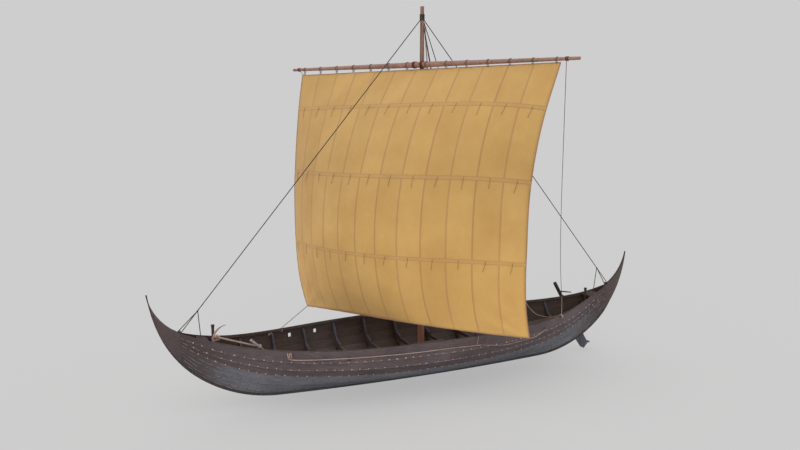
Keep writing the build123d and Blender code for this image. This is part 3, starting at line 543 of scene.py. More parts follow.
# Every finish's colours are 0 to 255 values, the dark one first.
PLANK_TOP = planking("planks_top", (66, 57, 60), (118, 106, 108), (68, 58, 59), (178, 152, 136))
# The lower planks are blue-grey and lighter than the upper ones: partly their own colour, partly painted
# bounce light from the floor.
PLANK_LOW = planking("planks_low", (86, 88, 95), (136, 138, 145), (70, 61, 62), (158, 152, 150))
STEM_WOOD = wood("stem_wood", (52, 45, 46), (92, 82, 82), "z", 0.78)
CARVED_WOOD = carved("carved_wood", (56, 48, 50), (94, 84, 86), (152, 126, 114))
SPINE_WOOD = wood("keel_wood", (64, 62, 66), (104, 102, 108), "x", 0.80)
BEAM_WOOD = wood("beam_wood", (46, 36, 34), (92, 76, 68), "y", 0.82)
SIDE_WOOD = wood("rail_wood", (52, 43, 42), (98, 84, 80), "x", 0.80)
DECK_WOOD = wood("deck_wood", (56, 44, 40), (104, 86, 76), "x", 0.84)
KNEE_WOOD = wood("knee_wood", (46, 43, 48), (94, 90, 97), "z", 0.80)
MAST_WOOD = wood("mast_wood", (126, 84, 68), (184, 140, 122), "z", 0.55, streak=0.25)
YARD_WOOD = wood("yard_wood", (126, 92, 80), (184, 144, 127), "y", 0.55, (0, 0, -BRACED), 0.25)
DARK_WOOD = wood("dark_wood", (40, 33, 33), (86, 74, 72), "z", 0.80)
RUDDER_WOOD = wood("rudder_wood", (40, 33, 33), (84, 74, 73), "z", 0.80,
                   foot=((68, 69, 75), (112, 114, 122)))
GREY_WOOD = wood("grey_wood", (124, 124, 130), (188, 188, 194), "z", 0.85)
TAR_ROPE = rope("tarred_rope", (40, 40, 40), (84, 82, 80))
TAN_ROPE = rope("tan_rope", (136, 110, 100), (198, 172, 158))
BROWN_ROPE = rope("brown_rope", (88, 70, 64), (140, 116, 106))
POINT_ROPE = rope("point_rope", (104, 80, 54), (146, 114, 78))
EDGE_ROPE = rope("bolt_rope", (142, 106, 84), (190, 150, 122))
RED_ROPE = rope("red_rope", (84, 46, 44), (128, 76, 70))
ANCHOR_SKIN = rope("anchor_skin", (122, 98, 88), (184, 158, 146))
IRON = iron("rivet_iron", (204, 196, 190), 0.6, 0.1)
DARK_IRON = iron("dark_rivet_iron", (84, 82, 84), 0.65, 0.3)
SAILCLOTH = sailcloth("sailcloth", (194, 152, 90), (205, 166, 101), (188, 144, 90))
SEAM_CLOTH = sailcloth("seam_cloth", (180, 136, 88), (189, 147, 97), (174, 130, 86))
BAND_CLOTH = sailcloth("band_cloth", (190, 148, 92), (199, 158, 101), (184, 140, 91))


# Hull lines read from the planks of the frame
SHARP = radians(45)
SAME_POINT = 1e-5


def welded(name):
    """Copy of a CAD node's mesh with its doubled points merged."""
    work = bmesh.new()
    work.from_mesh(nodes[name].data)
    bmesh.ops.remove_doubles(work, verts=work.verts, dist=SAME_POINT)
    return work


def corner_lines(name):
    """Runs along the ship where two faces of a node meet sharply, as start and end arrays."""
    work = welded(name)
    runs = []
    for edge in work.edges:
        a, b = (vertex.co for vertex in edge.verts)
        sharp = len(edge.link_faces) == 2 and edge.calc_face_angle(0.0) > SHARP
        if sharp and abs(a.x - b.x) > 1e-4 and a.y > 0:
            runs.append((a.to_tuple(), b.to_tuple()))
    work.free()
    runs = np.array(runs)
    return runs[:, 0], runs[:, 1]


def smooth(places, rows, slopes, place):
    """Row of values at a place, on smooth curves through all the rows."""
    i = int(np.clip(np.searchsorted(places, place) - 1, 0, len(places) - 2))
    step = places[i + 1] - places[i]
    t = np.clip((place - places[i]) / step, 0, 1)
    return ((2 * t**3 - 3 * t**2 + 1) * rows[i] + (t**3 - 2 * t**2 + t) * step * slopes[i]
            + (3 * t**2 - 2 * t**3) * rows[i + 1] + (t**3 - t**2) * step * slopes[i + 1])


def corners_at(lines, x):
    """The four corners of a plank at x: lower inner, upper inner, upper outer, lower outer."""
    a, b = lines
    hit = (a[:, 0] - x) * (b[:, 0] - x) < 0
    a, b = a[hit], b[hit]
    share = ((x - a[:, 0]) / (b[:, 0] - a[:, 0]))[:, None]
    found = (a + (b - a) * share)[:, 1:]
    kept = []
    for point in found:
        if all(np.hypot(*(point - other)) > 1e-3 for other in kept):
            kept.append(point)
    found = np.array(sorted(kept, key=lambda p: p[0] + p[1]))
    low, top = found[:2], found[-2:]
    along = top.mean(0) - low.mean(0)
    out = np.array([along[1], -along[0]])
    low = low[np.argsort(low @ out)]
    top = top[np.argsort(top @ out)]
    return np.array([low[0], top[0], top[1], low[1]])


# Distance of the sections from amidships, as the frame's planks are ruled between them.
HALF_STATIONS = [PLANK_END * (1 - (1 - k / 10) ** 1.35) for k in range(10)] + [PLANK_END - 0.002]
STATIONS = np.array(sorted({sign * x + 0.0005 for x in HALF_STATIONS for sign in (-1, 1)}))
STRAKES = 8
# Butts of odd and even strakes, as shares of the way from amidships to the plank ends.
BUTTS = {1: (-0.54, 0.03, 0.59), 0: (-0.64, -0.11, 0.46)}
# Distance along the ship and height of each oar port's middle, and half its width and height.
PORTS = [(-3.2692, 1.2497), (-2.4973, 1.2261), (3.2966, 1.2512)]
PORT_HALF = (0.040, 0.050)
BUTT_GAP = 0.001
END_GAP = 0.002
PLANK_STEP = 0.16
# The lowest plank swells a little at its ends, to run into the carved stem without a step.
FAIRED_LONG, FAIRED_OUT = 0.60, 0.014
LINES = [corner_lines(f"strake_{n}") for n in range(1, STRAKES + 1)]
CORNERS = np.array([[corners_at(lines, x) for lines in LINES] for x in STATIONS])
SLOPES = np.gradient(CORNERS, STATIONS, axis=0)


def hull_at(x):
    """Corners of all planks at x."""
    corners = smooth(STATIONS, CORNERS, SLOPES, x)
    near = np.clip((abs(x) - PLANK_END + FAIRED_LONG) / FAIRED_LONG, 0, 1)
    corners[0][3][0] += FAIRED_OUT * near**2
    return corners


def plank(shape, strake, start, end, side, tone):
    """One plank as a closed bar with its own grain coordinates, open at the oar ports."""
    ports = [port for port in PORTS if strake == STRAKES and start < port[0] < end]
    port_ends = [x + sign * PORT_HALF[0] for x, _ in ports for sign in (-1, 1)]
    count = max(3, ceil((end - start) / PLANK_STEP))
    xs = sorted([*np.linspace(start, end, count), *port_ends])
    rows = 8 if strake == STRAKES else 4
    outer = (4, 5, 6) if rows == 8 else (2,)
    points, rings, faces, pairs = [], [], [], []
    gone = random.uniform(0, 40)
    before = None

    def level(x, low, top, sign):
        """Point a third of the way in from an edge, or level with the port's edge near a port."""
        share = 0.5 + sign / 6
        if ports:
            port = min(ports, key=lambda port: abs(x - port[0]))
            there = (port[1] + sign * PORT_HALF[1] - DRAUGHT - low[1]) / (top[1] - low[1])
            share += (there - share) * np.clip(1.2 - abs(x - port[0]) / 0.4, 0, 1)
        return low + (top - low) * share

    def pair(row, corner, start):
        return (rings[row][0], rings[row][1][corner % rows] + start)

    for x in xs:
        low_in, top_in, top_out, low_out = hull_at(x)[strake - 1]
        ring = [low_in, top_in, top_out, low_out]
        if rows == 8:
            ring = [low_in, level(x, low_in, top_in, -1), level(x, low_in, top_in, 1), top_in,
                    top_out, level(x, low_out, top_out, 1), level(x, low_out, top_out, -1), low_out]
        here = Vector((x, *low_out))
        gone += (here - before).length if before else 0.0
        before = here
        rings.append((gone, [float(np.hypot(*(corner - low_out))) for corner in ring]))
        points += [Vector((x, side * y, z)) for y, z in ring]
    for i in range(len(xs) - 1):
        middle = (xs[i] + xs[i + 1]) / 2
        open_here = any(abs(middle - x) < PORT_HALF[0] + SAME_POINT for x, _ in ports)
        for k in range(rows):
            if open_here and k in (1, 5):
                continue
            a, b = i * rows + k, i * rows + (k + 1) % rows
            # The outer face counts its width from the lower edge up, the other faces from INNER_FACE.
            first = 0.0 if k in outer else INNER_FACE
            faces.append((a, b, b + rows, a + rows))
            pairs.append([pair(i, k, first), pair(i, k + 1, first),
                          pair(i + 1, k + 1, first), pair(i + 1, k, first)])
        if open_here:
            a, b = i * rows, (i + 1) * rows
            walls = [(a + 1, a + 6, b + 6, b + 1), (a + 5, a + 2, b + 2, b + 5)]
            if any(abs(xs[i] - (x - PORT_HALF[0])) < SAME_POINT for x, _ in ports):
                walls.append((a + 1, a + 2, a + 5, a + 6))
            if any(abs(xs[i + 1] - (x + PORT_HALF[0])) < SAME_POINT for x, _ in ports):
                walls.append((b + 6, b + 5, b + 2, b + 1))
            faces += walls
            pairs += [[(gone, INNER_FACE)] * 4] * len(walls)
    last = (len(xs) - 1) * rows
    faces += [range(rows)[::-1], range(last, last + rows)]
    pairs += [[(gone, INNER_FACE)] * rows] * 2
    shape.add(points, faces, pairs, tone, side < 0)


def planks():
    for strake in range(1, STRAKES + 1):
        shape = Shape()
        butts = [share * PLANK_END for share in BUTTS[strake % 2]]
        ends = [-PLANK_END + END_GAP, *butts, PLANK_END - END_GAP]
        for side in (-1, 1):
            for start, end in zip(ends, ends[1:]):
                plank(shape, strake, start + BUTT_GAP, end - BUTT_GAP, side, random.random())
        finish, slot = (PLANK_LOW, "hull_low") if strake < 6 else (PLANK_TOP, "hull_top")
        made = shape.piece(f"planks_{strake}", finish, "hull", slot)
        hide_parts(f"strake_{strake}")


# Stems: the wing's formulas, in metres, as the CAD wing is shaped
HALF_LENGTH = 7.0
TIP_HEIGHT = 2.95
WING_SAG = 0.144
WING_FOOT = (PLANK_END + 0.0004, 1.9616)
WING_ROWS = 42
# Share of the wing that is covered, half its thickness, by how much it thins, and a step's depth
WING_COVERED = 0.994
WING_HALF, WING_THINS = 0.040, 0.022
WING_STEP = 0.014
PROUD = 0.0025
HEAD_LONG, HEAD_ROWS, HEAD_SIDES = 0.24, 8, 8
HEAD_REACH, HEAD_HALF = 0.015, 0.022
# Underside from amidships to the tip, as centres and radii of arcs through these points.
PROFILE = [(0.0, 0.0), (3.9, 0.078), (5.85, 0.780), (6.73, 1.910), (7.0, TIP_HEIGHT)]


def keel_arcs():
    arcs, slope = [], 0.0
    for (x0, z0), (x1, z1) in zip(PROFILE, PROFILE[1:]):
        size = sqrt(1 + slope**2)
        normal = (-slope / size, 1 / size)
        dx, dz = x1 - x0, z1 - z0
        radius = (dx**2 + dz**2) / (2 * (dx * normal[0] + dz * normal[1]))
        centre = (x0 + normal[0] * radius, z0 + normal[1] * radius)
        arcs.append((centre, radius))
        slope = (x1 - centre[0]) / (centre[1] - z1)
    return arcs


KEEL_ARCS = keel_arcs()


def keel_height(x):
    i = next((k for k in range(1, len(PROFILE)) if x <= PROFILE[k][0]), len(PROFILE) - 1)
    (cx, cz), radius = KEEL_ARCS[i - 1]
    return cz - sqrt(radius**2 - (x - cx) ** 2)


def wing_back(share):
    """Point on the wing's inner edge, an arc from its foot to the tip."""
    (x0, z0), (x1, z1) = WING_FOOT, (HALF_LENGTH, TIP_HEIGHT)
    half = sqrt((x1 - x0) ** 2 + (z1 - z0) ** 2) / 2
    radius = (half**2 + WING_SAG**2) / (2 * WING_SAG)
    angle = asin(half / radius) * (2 * share - 1)
    along = radius * sin(angle) / (2 * half) + 0.5
    sag = (radius * cos(angle) - radius + WING_SAG) / (2 * half)
    return x0 + (x1 - x0) * along + (z1 - z0) * sag, z0 + (z1 - z0) * along - (x1 - x0) * sag


def carved_stem(name, sign):
    """Thin carved skin over both sides of a wing: its steps go on from the planks to the tip."""
    ends = hull_at(sign * (PLANK_END - 0.004))
    first, last = keel_height(WING_FOOT[0]), WING_FOOT[1]
    heights = [float(ends[0][0][1]) + DRAUGHT] + [float(strake[1][1]) + DRAUGHT for strake in ends]
    places = [(min(z, last) - first) / (last - first) for z in heights]
    shape = Shape()
    for side in (-1, 1):
        points, pairs = [], []
        for n in range(WING_ROWS):
            share = WING_COVERED * n / (WING_ROWS - 1)
            front_x = WING_FOOT[0] + (HALF_LENGTH - WING_FOOT[0]) * share
            front_z = keel_height(front_x)
            back_x, back_z = wing_back(share**0.75)
            half = WING_HALF - WING_THINS * share + PROUD
            step = WING_STEP * (1 - 0.7 * share)
            row = [(places[0], half, 0.0)]
            for k, (low, high) in enumerate(zip(places, places[1:])):
                row += [(low, half + 2 * step, k + 0.02), ((low + high) / 2, half + 1.5 * step, k + 0.5),
                        (high, half + step, k + 0.98)]
            for place, y, level in row:
                points.append(at(sign * (front_x + (back_x - front_x) * place), side * y,
                                 front_z + (back_z - front_z) * place))
                pairs.append((share, level))
        shape.grid(points, pairs, len(row), sign * side > 0)
    shape.piece(name, CARVED_WOOD, "hull", "hull_end")


def stem_tips():
    """Blunt dark head of each stem, in level sections between the wing's two edges."""
    shape = Shape()
    (centre_x, centre_z), radius = KEEL_ARCS[-1]
    backs = [wing_back(0.7 + 0.3 * k / 40) for k in range(41)]
    shares = np.linspace(0.0, 1.0, HEAD_ROWS)
    rows = [(TIP_HEIGHT - HEAD_LONG * (1 - share), share) for share in shares]
    rows.append((TIP_HEIGHT + 0.010, 1.0))
    for sign in (-1, 1):
        points = []
        for height, share in rows:
            here = min(height, TIP_HEIGHT)
            front_x = centre_x + sqrt(radius**2 - (here - centre_z) ** 2)
            back_x = np.interp(here, [z for _, z in backs], [x for x, _ in backs])
            reach = max((front_x - back_x) / 2 - 0.003 * (1 - share), HEAD_REACH + 0.005 * share**4)
            thick = HEAD_HALF + 0.004 * (1 - share)
            for k in range(HEAD_SIDES):
                angle = 2 * pi * (k + 0.5) / HEAD_SIDES
                x = (front_x + back_x) / 2 + reach * cos(angle)
                points.append(at(sign * x, thick * sin(angle), height))
        top = HEAD_ROWS * HEAD_SIDES
        faces = [range(HEAD_SIDES)[::-1], range(top, top + HEAD_SIDES)] + ring_quads(len(rows), HEAD_SIDES)
        shape.add(points, faces, back=sign < 0)
    shape.piece("stem_tips", DARK_WOOD, "hull", "hull_end")


def dome(shape, centre, normal, radius):
    """Rounded head of a rivet."""
    side = normal.orthogonal().normalized()
    up = normal.cross(side)
    sides = RIVET_SIDES
    points = []
    for reach, rise in RIVET_RINGS:
        for k in range(sides):
            angle = 2 * pi * k / sides
            out = side * cos(angle) + up * sin(angle)
            points.append(centre + out * (radius * reach) + normal * (RIVET_HEIGHT * rise))
    points.append(centre + normal * RIVET_HEIGHT)
    top = len(points) - 1
    faces = ring_quads(len(RIVET_RINGS), sides)
    faces += [(top - sides + k, top - sides + (k + 1) % sides, top) for k in range(sides)]
    shape.add(points, faces + [range(sides)[::-1]])


def rivets():
    """Domed rivets along the laps, on the outside of the planks."""
    pale, dull = Shape(), Shape()
    for strake in range(2, STRAKES + 1):
        for side in (-1, 1):
            x = -RIVETS_END + random.uniform(0, RIVET_STEP)
            while x < RIVETS_END:
                here = x + random.uniform(-RIVET_SWAY, RIVET_SWAY)
                low_in, _, top_out, low_out = hull_at(here)[strake - 1]
                width = np.hypot(*(top_out - low_out))
                y, z = low_out + (top_out - low_out) * (RIVET_ABOVE_EDGE / width)
                out = (low_out - low_in) / np.hypot(*(low_out - low_in))
                dome(pale if strake > 5 else dull, Vector((here, side * y, z)),
                     Vector((0, side * out[0], out[1])).normalized(),
                     RIVET_RADIUS * random.uniform(0.75, 1.15))
                x += RIVET_STEP * random.choice((1.0, 1.0, 1.5))
    pale.piece("rivets_upper", IRON, "hull", "grey_wood")
    dull.piece("rivets_lower", DARK_IRON, "hull", "hull_low")


# Sail
SAIL = np.array(SAIL_LEVELS)
SAIL_SLOPES = np.gradient(SAIL, SAIL[:, 0], axis=0)
FOOT, HEAD = SAIL[0, 0], SAIL[-1, 0]
SAIL_ACROSS = [k / (PANELS * 6) for k in range(PANELS * 6 + 1)]
SAIL_DOWN = 110
# Across and down, and how far the cloth is drawn into creases, at each corner
CORNER_PULLS = [(0.0, 1.0, 1.1), (1.0, 1.0, 1.0), (0.0, 0.0, 0.5), (1.0, 0.0, 0.5)]
PUFFED, DRAWN, WANDERING, HEAD_PULLED = 0.012, 0.020, 0.016, 0.010
SAIL_THICK = 0.003
# Distances that reef bands, their edges and the seams stand off the cloth
BAND_PROUD, BORDER_PROUD, SEAM_PROUD = 0.0048, 0.0056, 0.0040


def sail_point(across, height, proud=0.0):
    """Point of the sail's mean surface. across is 0 at the starboard leech and 1 at the port one."""
    _, lean, pv, sv, belly, pu, su = smooth(SAIL[:, 0], SAIL, SAIL_SLOPES, height)
    # Circle through the two leeches and the belly, as far ahead of the chord as it is there.
    half = sqrt((pu + su) ** 2 + (pv - sv) ** 2) / 2
    rise = max(belly - (pv + sv) / 2, 0.005)
    radius = (half**2 + rise**2) / (2 * rise)
    sweep = asin(min(1.0, half / radius))
    angle = sweep * (2 * across - 1)
    along = (radius + proud) * sin(angle)
    ahead = (radius + proud) * cos(angle) - (radius - rise)
    tilt = atan2(pv - sv, pu + su)
    u = (pu - su) / 2 + along * cos(tilt) - ahead * sin(tilt)
    v = (pv + sv) / 2 + along * sin(tilt) + ahead * cos(tilt)
    return rig(u, v, height + lean * u / half)


def creases(across, height):
    """Small depth of the cloth: puffed cloth widths, drag creases from the corners, slow waves."""
    down = (HEAD - height) / (HEAD - FOOT)
    depth = PUFFED * sin(pi * (across * PANELS % 1.0)) ** 2 * min(1.0, 6 * down)
    for corner_across, corner_down, reach in CORNER_PULLS:
        dx, dz = (across - corner_across) * 7.0, (down - corner_down) * 6.6
        distance = sqrt(dx**2 + dz**2)
        if distance < 3 * reach:
            angle = atan2(abs(dz), abs(dx) + 1e-6)
            fade = (1 - distance / (3 * reach)) ** 2 * min(1.0, distance * 4)
            depth += DRAWN * reach * fade * sin(angle * 13 + 1.3 * corner_across + corner_down)
    depth += WANDERING * noise.noise(Vector((across * 5.0, down * 3.0, 3.7)))
    depth += HEAD_PULLED * max(0.0, 1 - down * 9) * sin(2 * pi * across * 14)
    return depth * min(1.0, 14 * across, 14 * (1 - across)) ** 0.5


def sail_height(across, down):
    """Height by share of the way down. The foot is cut higher between its corners, most to starboard."""
    hollow = FOOT_HOLLOW * 4 * across * (1 - across) * (1 + FOOT_SKEW * (1 - 2 * across))
    return HEAD + (FOOT + hollow - HEAD) * down


def sail():
    """The cloth as a thin sheet, and the area of its curved surface."""
    shape = Shape()
    columns = len(SAIL_ACROSS)
    tones = [random.random() for _ in range(PANELS)]
    points, pairs = [], []
    for row in range(SAIL_DOWN + 1):
        for across in SAIL_ACROSS:
            height = sail_height(across, row / SAIL_DOWN)
            points.append(sail_point(across, height, creases(across, height)))
            pairs.append((across * SAIL_WIDTH, row / SAIL_DOWN * (HEAD - FOOT)))
    shape.grid(points, pairs, columns)
    shape.tones = [tones[column * PANELS // (columns - 1)] for column in range(columns - 1)] * SAIL_DOWN
    cloth = shape.piece("sail_cloth", SAILCLOTH, "yard", "sailcloth")
    thick = cloth.modifiers.new("thickness", "SOLIDIFY")
    thick.thickness = SAIL_THICK
    thick.offset = 0.0
    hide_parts("sail")
    area = 0.0
    for a, b, c, d in shape.faces:
        area += (points[c] - points[a]).cross(points[d] - points[b]).length / 2
    return cloth, area


def ribbon(shape, path, width, proud, tone=0.5, level=False):
    """Flat strip on both sides of the sail. path gives across and height; a level one is a band's."""
    for face in (1, -1):
        points, pairs = [], []
        for i, (across, height) in enumerate(path):
            for edge in (-1, 1):
                a = across if level else across + edge * width / 2 / SAIL_WIDTH
                z = height + (edge * width / 2 if level else 0.0)
                points.append(sail_point(a, z, creases(min(max(a, 0), 1), z) + face * proud))
                pairs.append((width * (edge + 1) / 2, i * 0.05))
        shape.grid(points, pairs, 2, face < 0, tone)


def band_height(middle, dip, across):
    """Height of a reef band, which dips towards both leeches, more at the port one."""
    return middle - dip * (max(0.0, across - 0.72) / 0.28) ** 2 - 0.3 * dip * (1 - across) ** 2


def sail_work():
    """Seams between the cloths, reef bands, reef points and bolt ropes."""
    seams, bands, borders, points, edges = (Shape() for _ in range(5))
    for k in range(1, PANELS):
        path = [(k / PANELS, sail_height(k / PANELS, row / 90)) for row in range(91)]
        ribbon(seams, path, SEAM_WIDTH, SEAM_PROUD, random.random())
    for middle, dip in REEF_BANDS:
        path = [(column / 96, band_height(middle, dip, column / 96)) for column in range(97)]
        ribbon(bands, path, BAND_WIDTH, BAND_PROUD, level=True)
        for edge in (-1, 1):
            shifted = [(across, height + edge * BAND_WIDTH / 2) for across, height in path]
            ribbon(borders, shifted, BAND_EDGE, BORDER_PROUD, level=True)
    for middle, dip in REEF_BANDS:
        for k in range(PANELS):
            across = (k + 0.5) / PANELS
            start = band_height(middle, dip, across) + 0.02
            sway = random.uniform(-0.07, -0.01)
            long = POINT_LENGTH * random.uniform(0.85, 1.1)
            for face in (1, -1):
                path = []
                for share in (step / 5 for step in range(6)):
                    here = across + sway * share**1.4 / SAIL_WIDTH
                    height = start - long * share
                    proud = creases(here, height) + face * (0.011 + 0.014 * sin(pi * share))
                    path.append(sail_point(here, height, proud))
                laid_rope(points, path, POINT_RADIUS, 6)
    shares = [k / 60 for k in range(61)]
    for across in (0.0, 1.0):
        laid_rope(edges, [sail_point(across, sail_height(across, down)) for down in shares], EDGE_RADIUS)
    for down in (0.0, 1.0):
        path = [(across, sail_height(across, down)) for across in shares]
        laid_rope(edges, [sail_point(*place, creases(*place)) for place in path], EDGE_RADIUS)
    return [
        seams.piece("sail_seams", SEAM_CLOTH, "yard", "sailcloth"),
        bands.piece("reef_bands", BAND_CLOTH, "yard", "sailcloth"),
        borders.piece("reef_band_edges", SEAM_CLOTH, "yard", "sailcloth"),
        points.piece("reef_points", POINT_ROPE, "yard", "dark_rope"),
        edges.piece("bolt_ropes", EDGE_ROPE, "yard", "anchor_rope"),
    ]


# Rigging
# Height at either end of a bar within which its points are its end
BAR_END = 0.03


def bars(name):
    """Lower and upper end of each separate straight bar of a CAD node."""
    work = welded(name)
    left = dict.fromkeys(work.verts)
    found = []
    while left:
        group, edge = [], [left.popitem()[0]]
        while edge:
            vertex = edge.pop()
            group.append(vertex.co.to_tuple())
            for link in vertex.link_edges:
                other = link.other_vert(vertex)
                if other in left:
                    del left[other]
                    edge.append(other)
        group = np.array(group)
        heights = group[:, 2]
        low = group[heights < heights.min() + BAR_END].mean(0)
        high = group[heights > heights.max() - BAR_END].mean(0)
        found.append((Vector(low), Vector(high)))
    work.free()
    return found


BRIDLES = [
    # stay, then x and height of its knot, of its foot on the stem and on the breasthook
    ("forestay", (-5.84, 2.47), (-6.30, 1.975), (-5.79, 1.80)),
    ("backstay", (5.96, 2.53), (6.33, 2.015), (5.86, 1.81)),
]
# Directions along the yard to port, and ahead of it
YARD_OUT = rig(1, 0, 0) - rig(0, 0, 0)
YARD_FRONT = rig(0, 1, 0) - rig(0, 0, 0)


def standing_rigging():
    """Stays, bridles and shrouds in laid rope, on the lines of the CAD bars."""
    for name, knot, stem_foot, hook_foot in BRIDLES:
        low, high = bars(name)[0]
        shape = Shape()
        laid_rope(shape, [low, high], STAY_RADIUS)
        made = shape.piece(f"{name}_rope", TAR_ROPE, "hull", "dark_rope")
        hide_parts(name)

        shape = Shape()
        eye, foot, leg = (at(x, 0, height) for x, height in (knot, stem_foot, hook_foot))
        down = (low - high).normalized()
        outward = 1 if foot.x > 0 else -1
        for side in (-1, 1):
            end = foot + Vector((-side * 0.028, side * 0.034, -0.014 * side * outward))
            laid_rope(shape, [eye + down * 0.02, end], LEG_RADIUS, 7)
        laid_rope(shape, [eye, leg], LEG_RADIUS, 7)
        lashing(shape, eye + down * 0.012, down, ACROSS, 0.013, 5, TIE_RADIUS, 0.055)
        for height in (0.0, 0.014, 0.028):
            lashing(shape, foot + UP * height, (0.35 * outward, 0, 1), ACROSS, 0.047, 1, 0.007, 0.012)
        made = shape.piece(f"{name}_bridle_rope", TAR_ROPE, "hull", "dark_rope")
        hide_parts(f"{name}_bridle")

    shape = Shape()
    for low, high in bars("shrouds"):
        laid_rope(shape, [low, high], STAY_RADIUS)
        along = (high - low).normalized()
        lashing(shape, low + along * 0.16, along, AHEAD, 0.014, 6, TIE_RADIUS, 0.08)
    made = shape.piece("shroud_ropes", TAR_ROPE, "hull", "dark_rope")
    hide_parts("shrouds")

    band = Shape()
    low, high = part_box("masthead_band")
    radius = (high.x - low.x) / 2 - 0.009
    turns = 8
    for k in range(turns):
        height = low.z + (high.z - low.z) * (k + 0.5) / turns
        lashing(band, Vector((MAST_X, 0, height)), UP, AHEAD, radius, 1, 0.0105, 0.004)
    made = band.piece("masthead_turns", TAR_ROPE, "hull", "dark_rope")
    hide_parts("masthead_band")


def yard_radius(u):
    return YARD_RADIUS + (YARD_END_RADIUS - YARD_RADIUS) * abs(u) / YARD_HALF


ROBANDS = 14


def robands():
    """Ties from the head of the sail round the yard."""
    shape = Shape()
    for n in range(ROBANDS):
        across = 0.012 + 0.976 * n / (ROBANDS - 1)
        head = sail_point(across, HEAD - 0.03)
        u = (head.x - MAST_X) * sin(BRACED) - head.y * cos(BRACED)
        reach = yard_radius(u) + 0.009
        middle = rig(u, YARD_AHEAD, YARD_HEIGHT)
        drop = middle.z - head.z
        for turn in (-1, 1):
            path = []
            for k in range(17):
                angle = -pi / 2 + 2 * pi * k / 16
                rise = sin(angle)
                level = rise * reach
                if level < 0:
                    level *= 1 + (drop / reach - 1) * (abs(rise) ** 3)
                path.append(middle + YARD_FRONT * (cos(angle) * reach * (1.0 if rise > -0.6 else 0.55))
                            + UP * level + YARD_OUT * (turn * 0.012 + 0.010 * rise))
            laid_rope(shape, path, TIE_RADIUS, 6)
    made = shape.piece("roband_ties", BROWN_ROPE, "yard", "dark_rope")
    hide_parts("robands")


def tied(name, points, radius, material, slot):
    """Rope from the hull to the yard or sail, taken off its body and left where it lies."""
    shape = Shape()
    laid_rope(shape, curved(points), radius, 7)
    made = shape.piece(name, material, "hull", slot)
    made.parent = None
    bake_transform(made)


# Feet of the braces and of the bowline, as x, y and height
PORT_BRACE_FOOT = (4.00, -0.985, 2.02)
STARBOARD_BRACE_FOOT = (4.05, 0.93, 1.50)
BOWLINE_FOOT = (1.03, -1.655, 1.22)
# Smooth ropes on the deck: radius, sides, then points as x, y and height
DECK_LINES = [
    # along the outside of the port side, under the gunwale
    (0.0125, 8, (-3.89, -1.055, 1.42), (-3.82, -1.10, 1.30), (-2.7, -1.385, 1.265), (-1.58, -1.590, 1.26),
     (-0.7, -1.655, 1.252), (0.13, -1.672, 1.25), BOWLINE_FOOT),
    # the port brace's lower part and its slack end over to the other side
    (0.010, 8, (4.02, -0.965, 1.50), (4.015, -0.975, 1.75), PORT_BRACE_FOOT),
    (0.0095, 8, (4.02, -0.93, 1.52), (3.98, -0.55, 1.36), (3.95, 0.05, 1.27), (4.0, 0.55, 1.33),
     (4.05, 0.90, 1.47)),
    # a shroud's tail, hanging outside the top strake
    (0.008, 7, (0.95, -1.625, 1.47), (0.93, -1.668, 1.40), (0.90, -1.672, 1.25)),
]
# Turns on the gunwales: middle as x, y and height, direction, radius, turns, rope's radius, length
GUNWALE_TURNS = [
    ((4.02, -0.955, 1.475), (1, 0.25, 0), 0.052, 5, 0.009, 0.07),
    ((4.05, 0.94, 1.475), (1, -0.25, 0), 0.052, 4, 0.009, 0.06),
    ((-3.88, -1.02, 1.390), (1, -0.25, 0.03), 0.064, 3, 0.0155, 0.12),
    ((-3.86, 1.02, 1.40), (1, 0.25, 0.03), 0.062, 4, 0.014, 0.12),
    ((-3.51, 1.12, 1.42), (1, 0.22, 0.03), 0.052, 3, 0.009, 0.05),
]
# Straight dark ropes: radius, sides, then the upper and lower end as x, y and height
DARK_LINES = [
    (0.016, 8, (1.24, -1.660, 1.40), (1.12, -1.672, 1.25)),
    # the halyard, from the masthead down abaft the mast to the deck beam
    (0.0070, 7, (0.160, -0.02, 9.44), (0.850, -0.04, 0.845)),
    (0.0070, 7, (0.160, 0.02, 9.44), (0.885, 0.04, 0.845)),
    # the fall of the tie, from the masthead down the fore side of the mast to the yard
    (0.0110, 7, (0.040, -0.045, 9.46), (-0.010, -0.105, 8.44)),
]
# Turns of the halyard on the deck beam, as the turns on the gunwales
BEAM_TURNS = [((0.860, across, 0.785), (0, 1, 0), 0.066, 3, 0.008, 0.04) for across in (-0.04, 0.04)]
# Lashings at the yard's ends, as distances out along it to port
YARD_END_TURNS = (4.07, 4.11, -4.15, -4.19)


def turns_on(shape, table):
    """Turns of rope, one lashing for each row of a table."""
    for middle, axis, *sizes in table:
        lashing(shape, at(*middle), axis, Vector(axis).orthogonal(), *sizes)


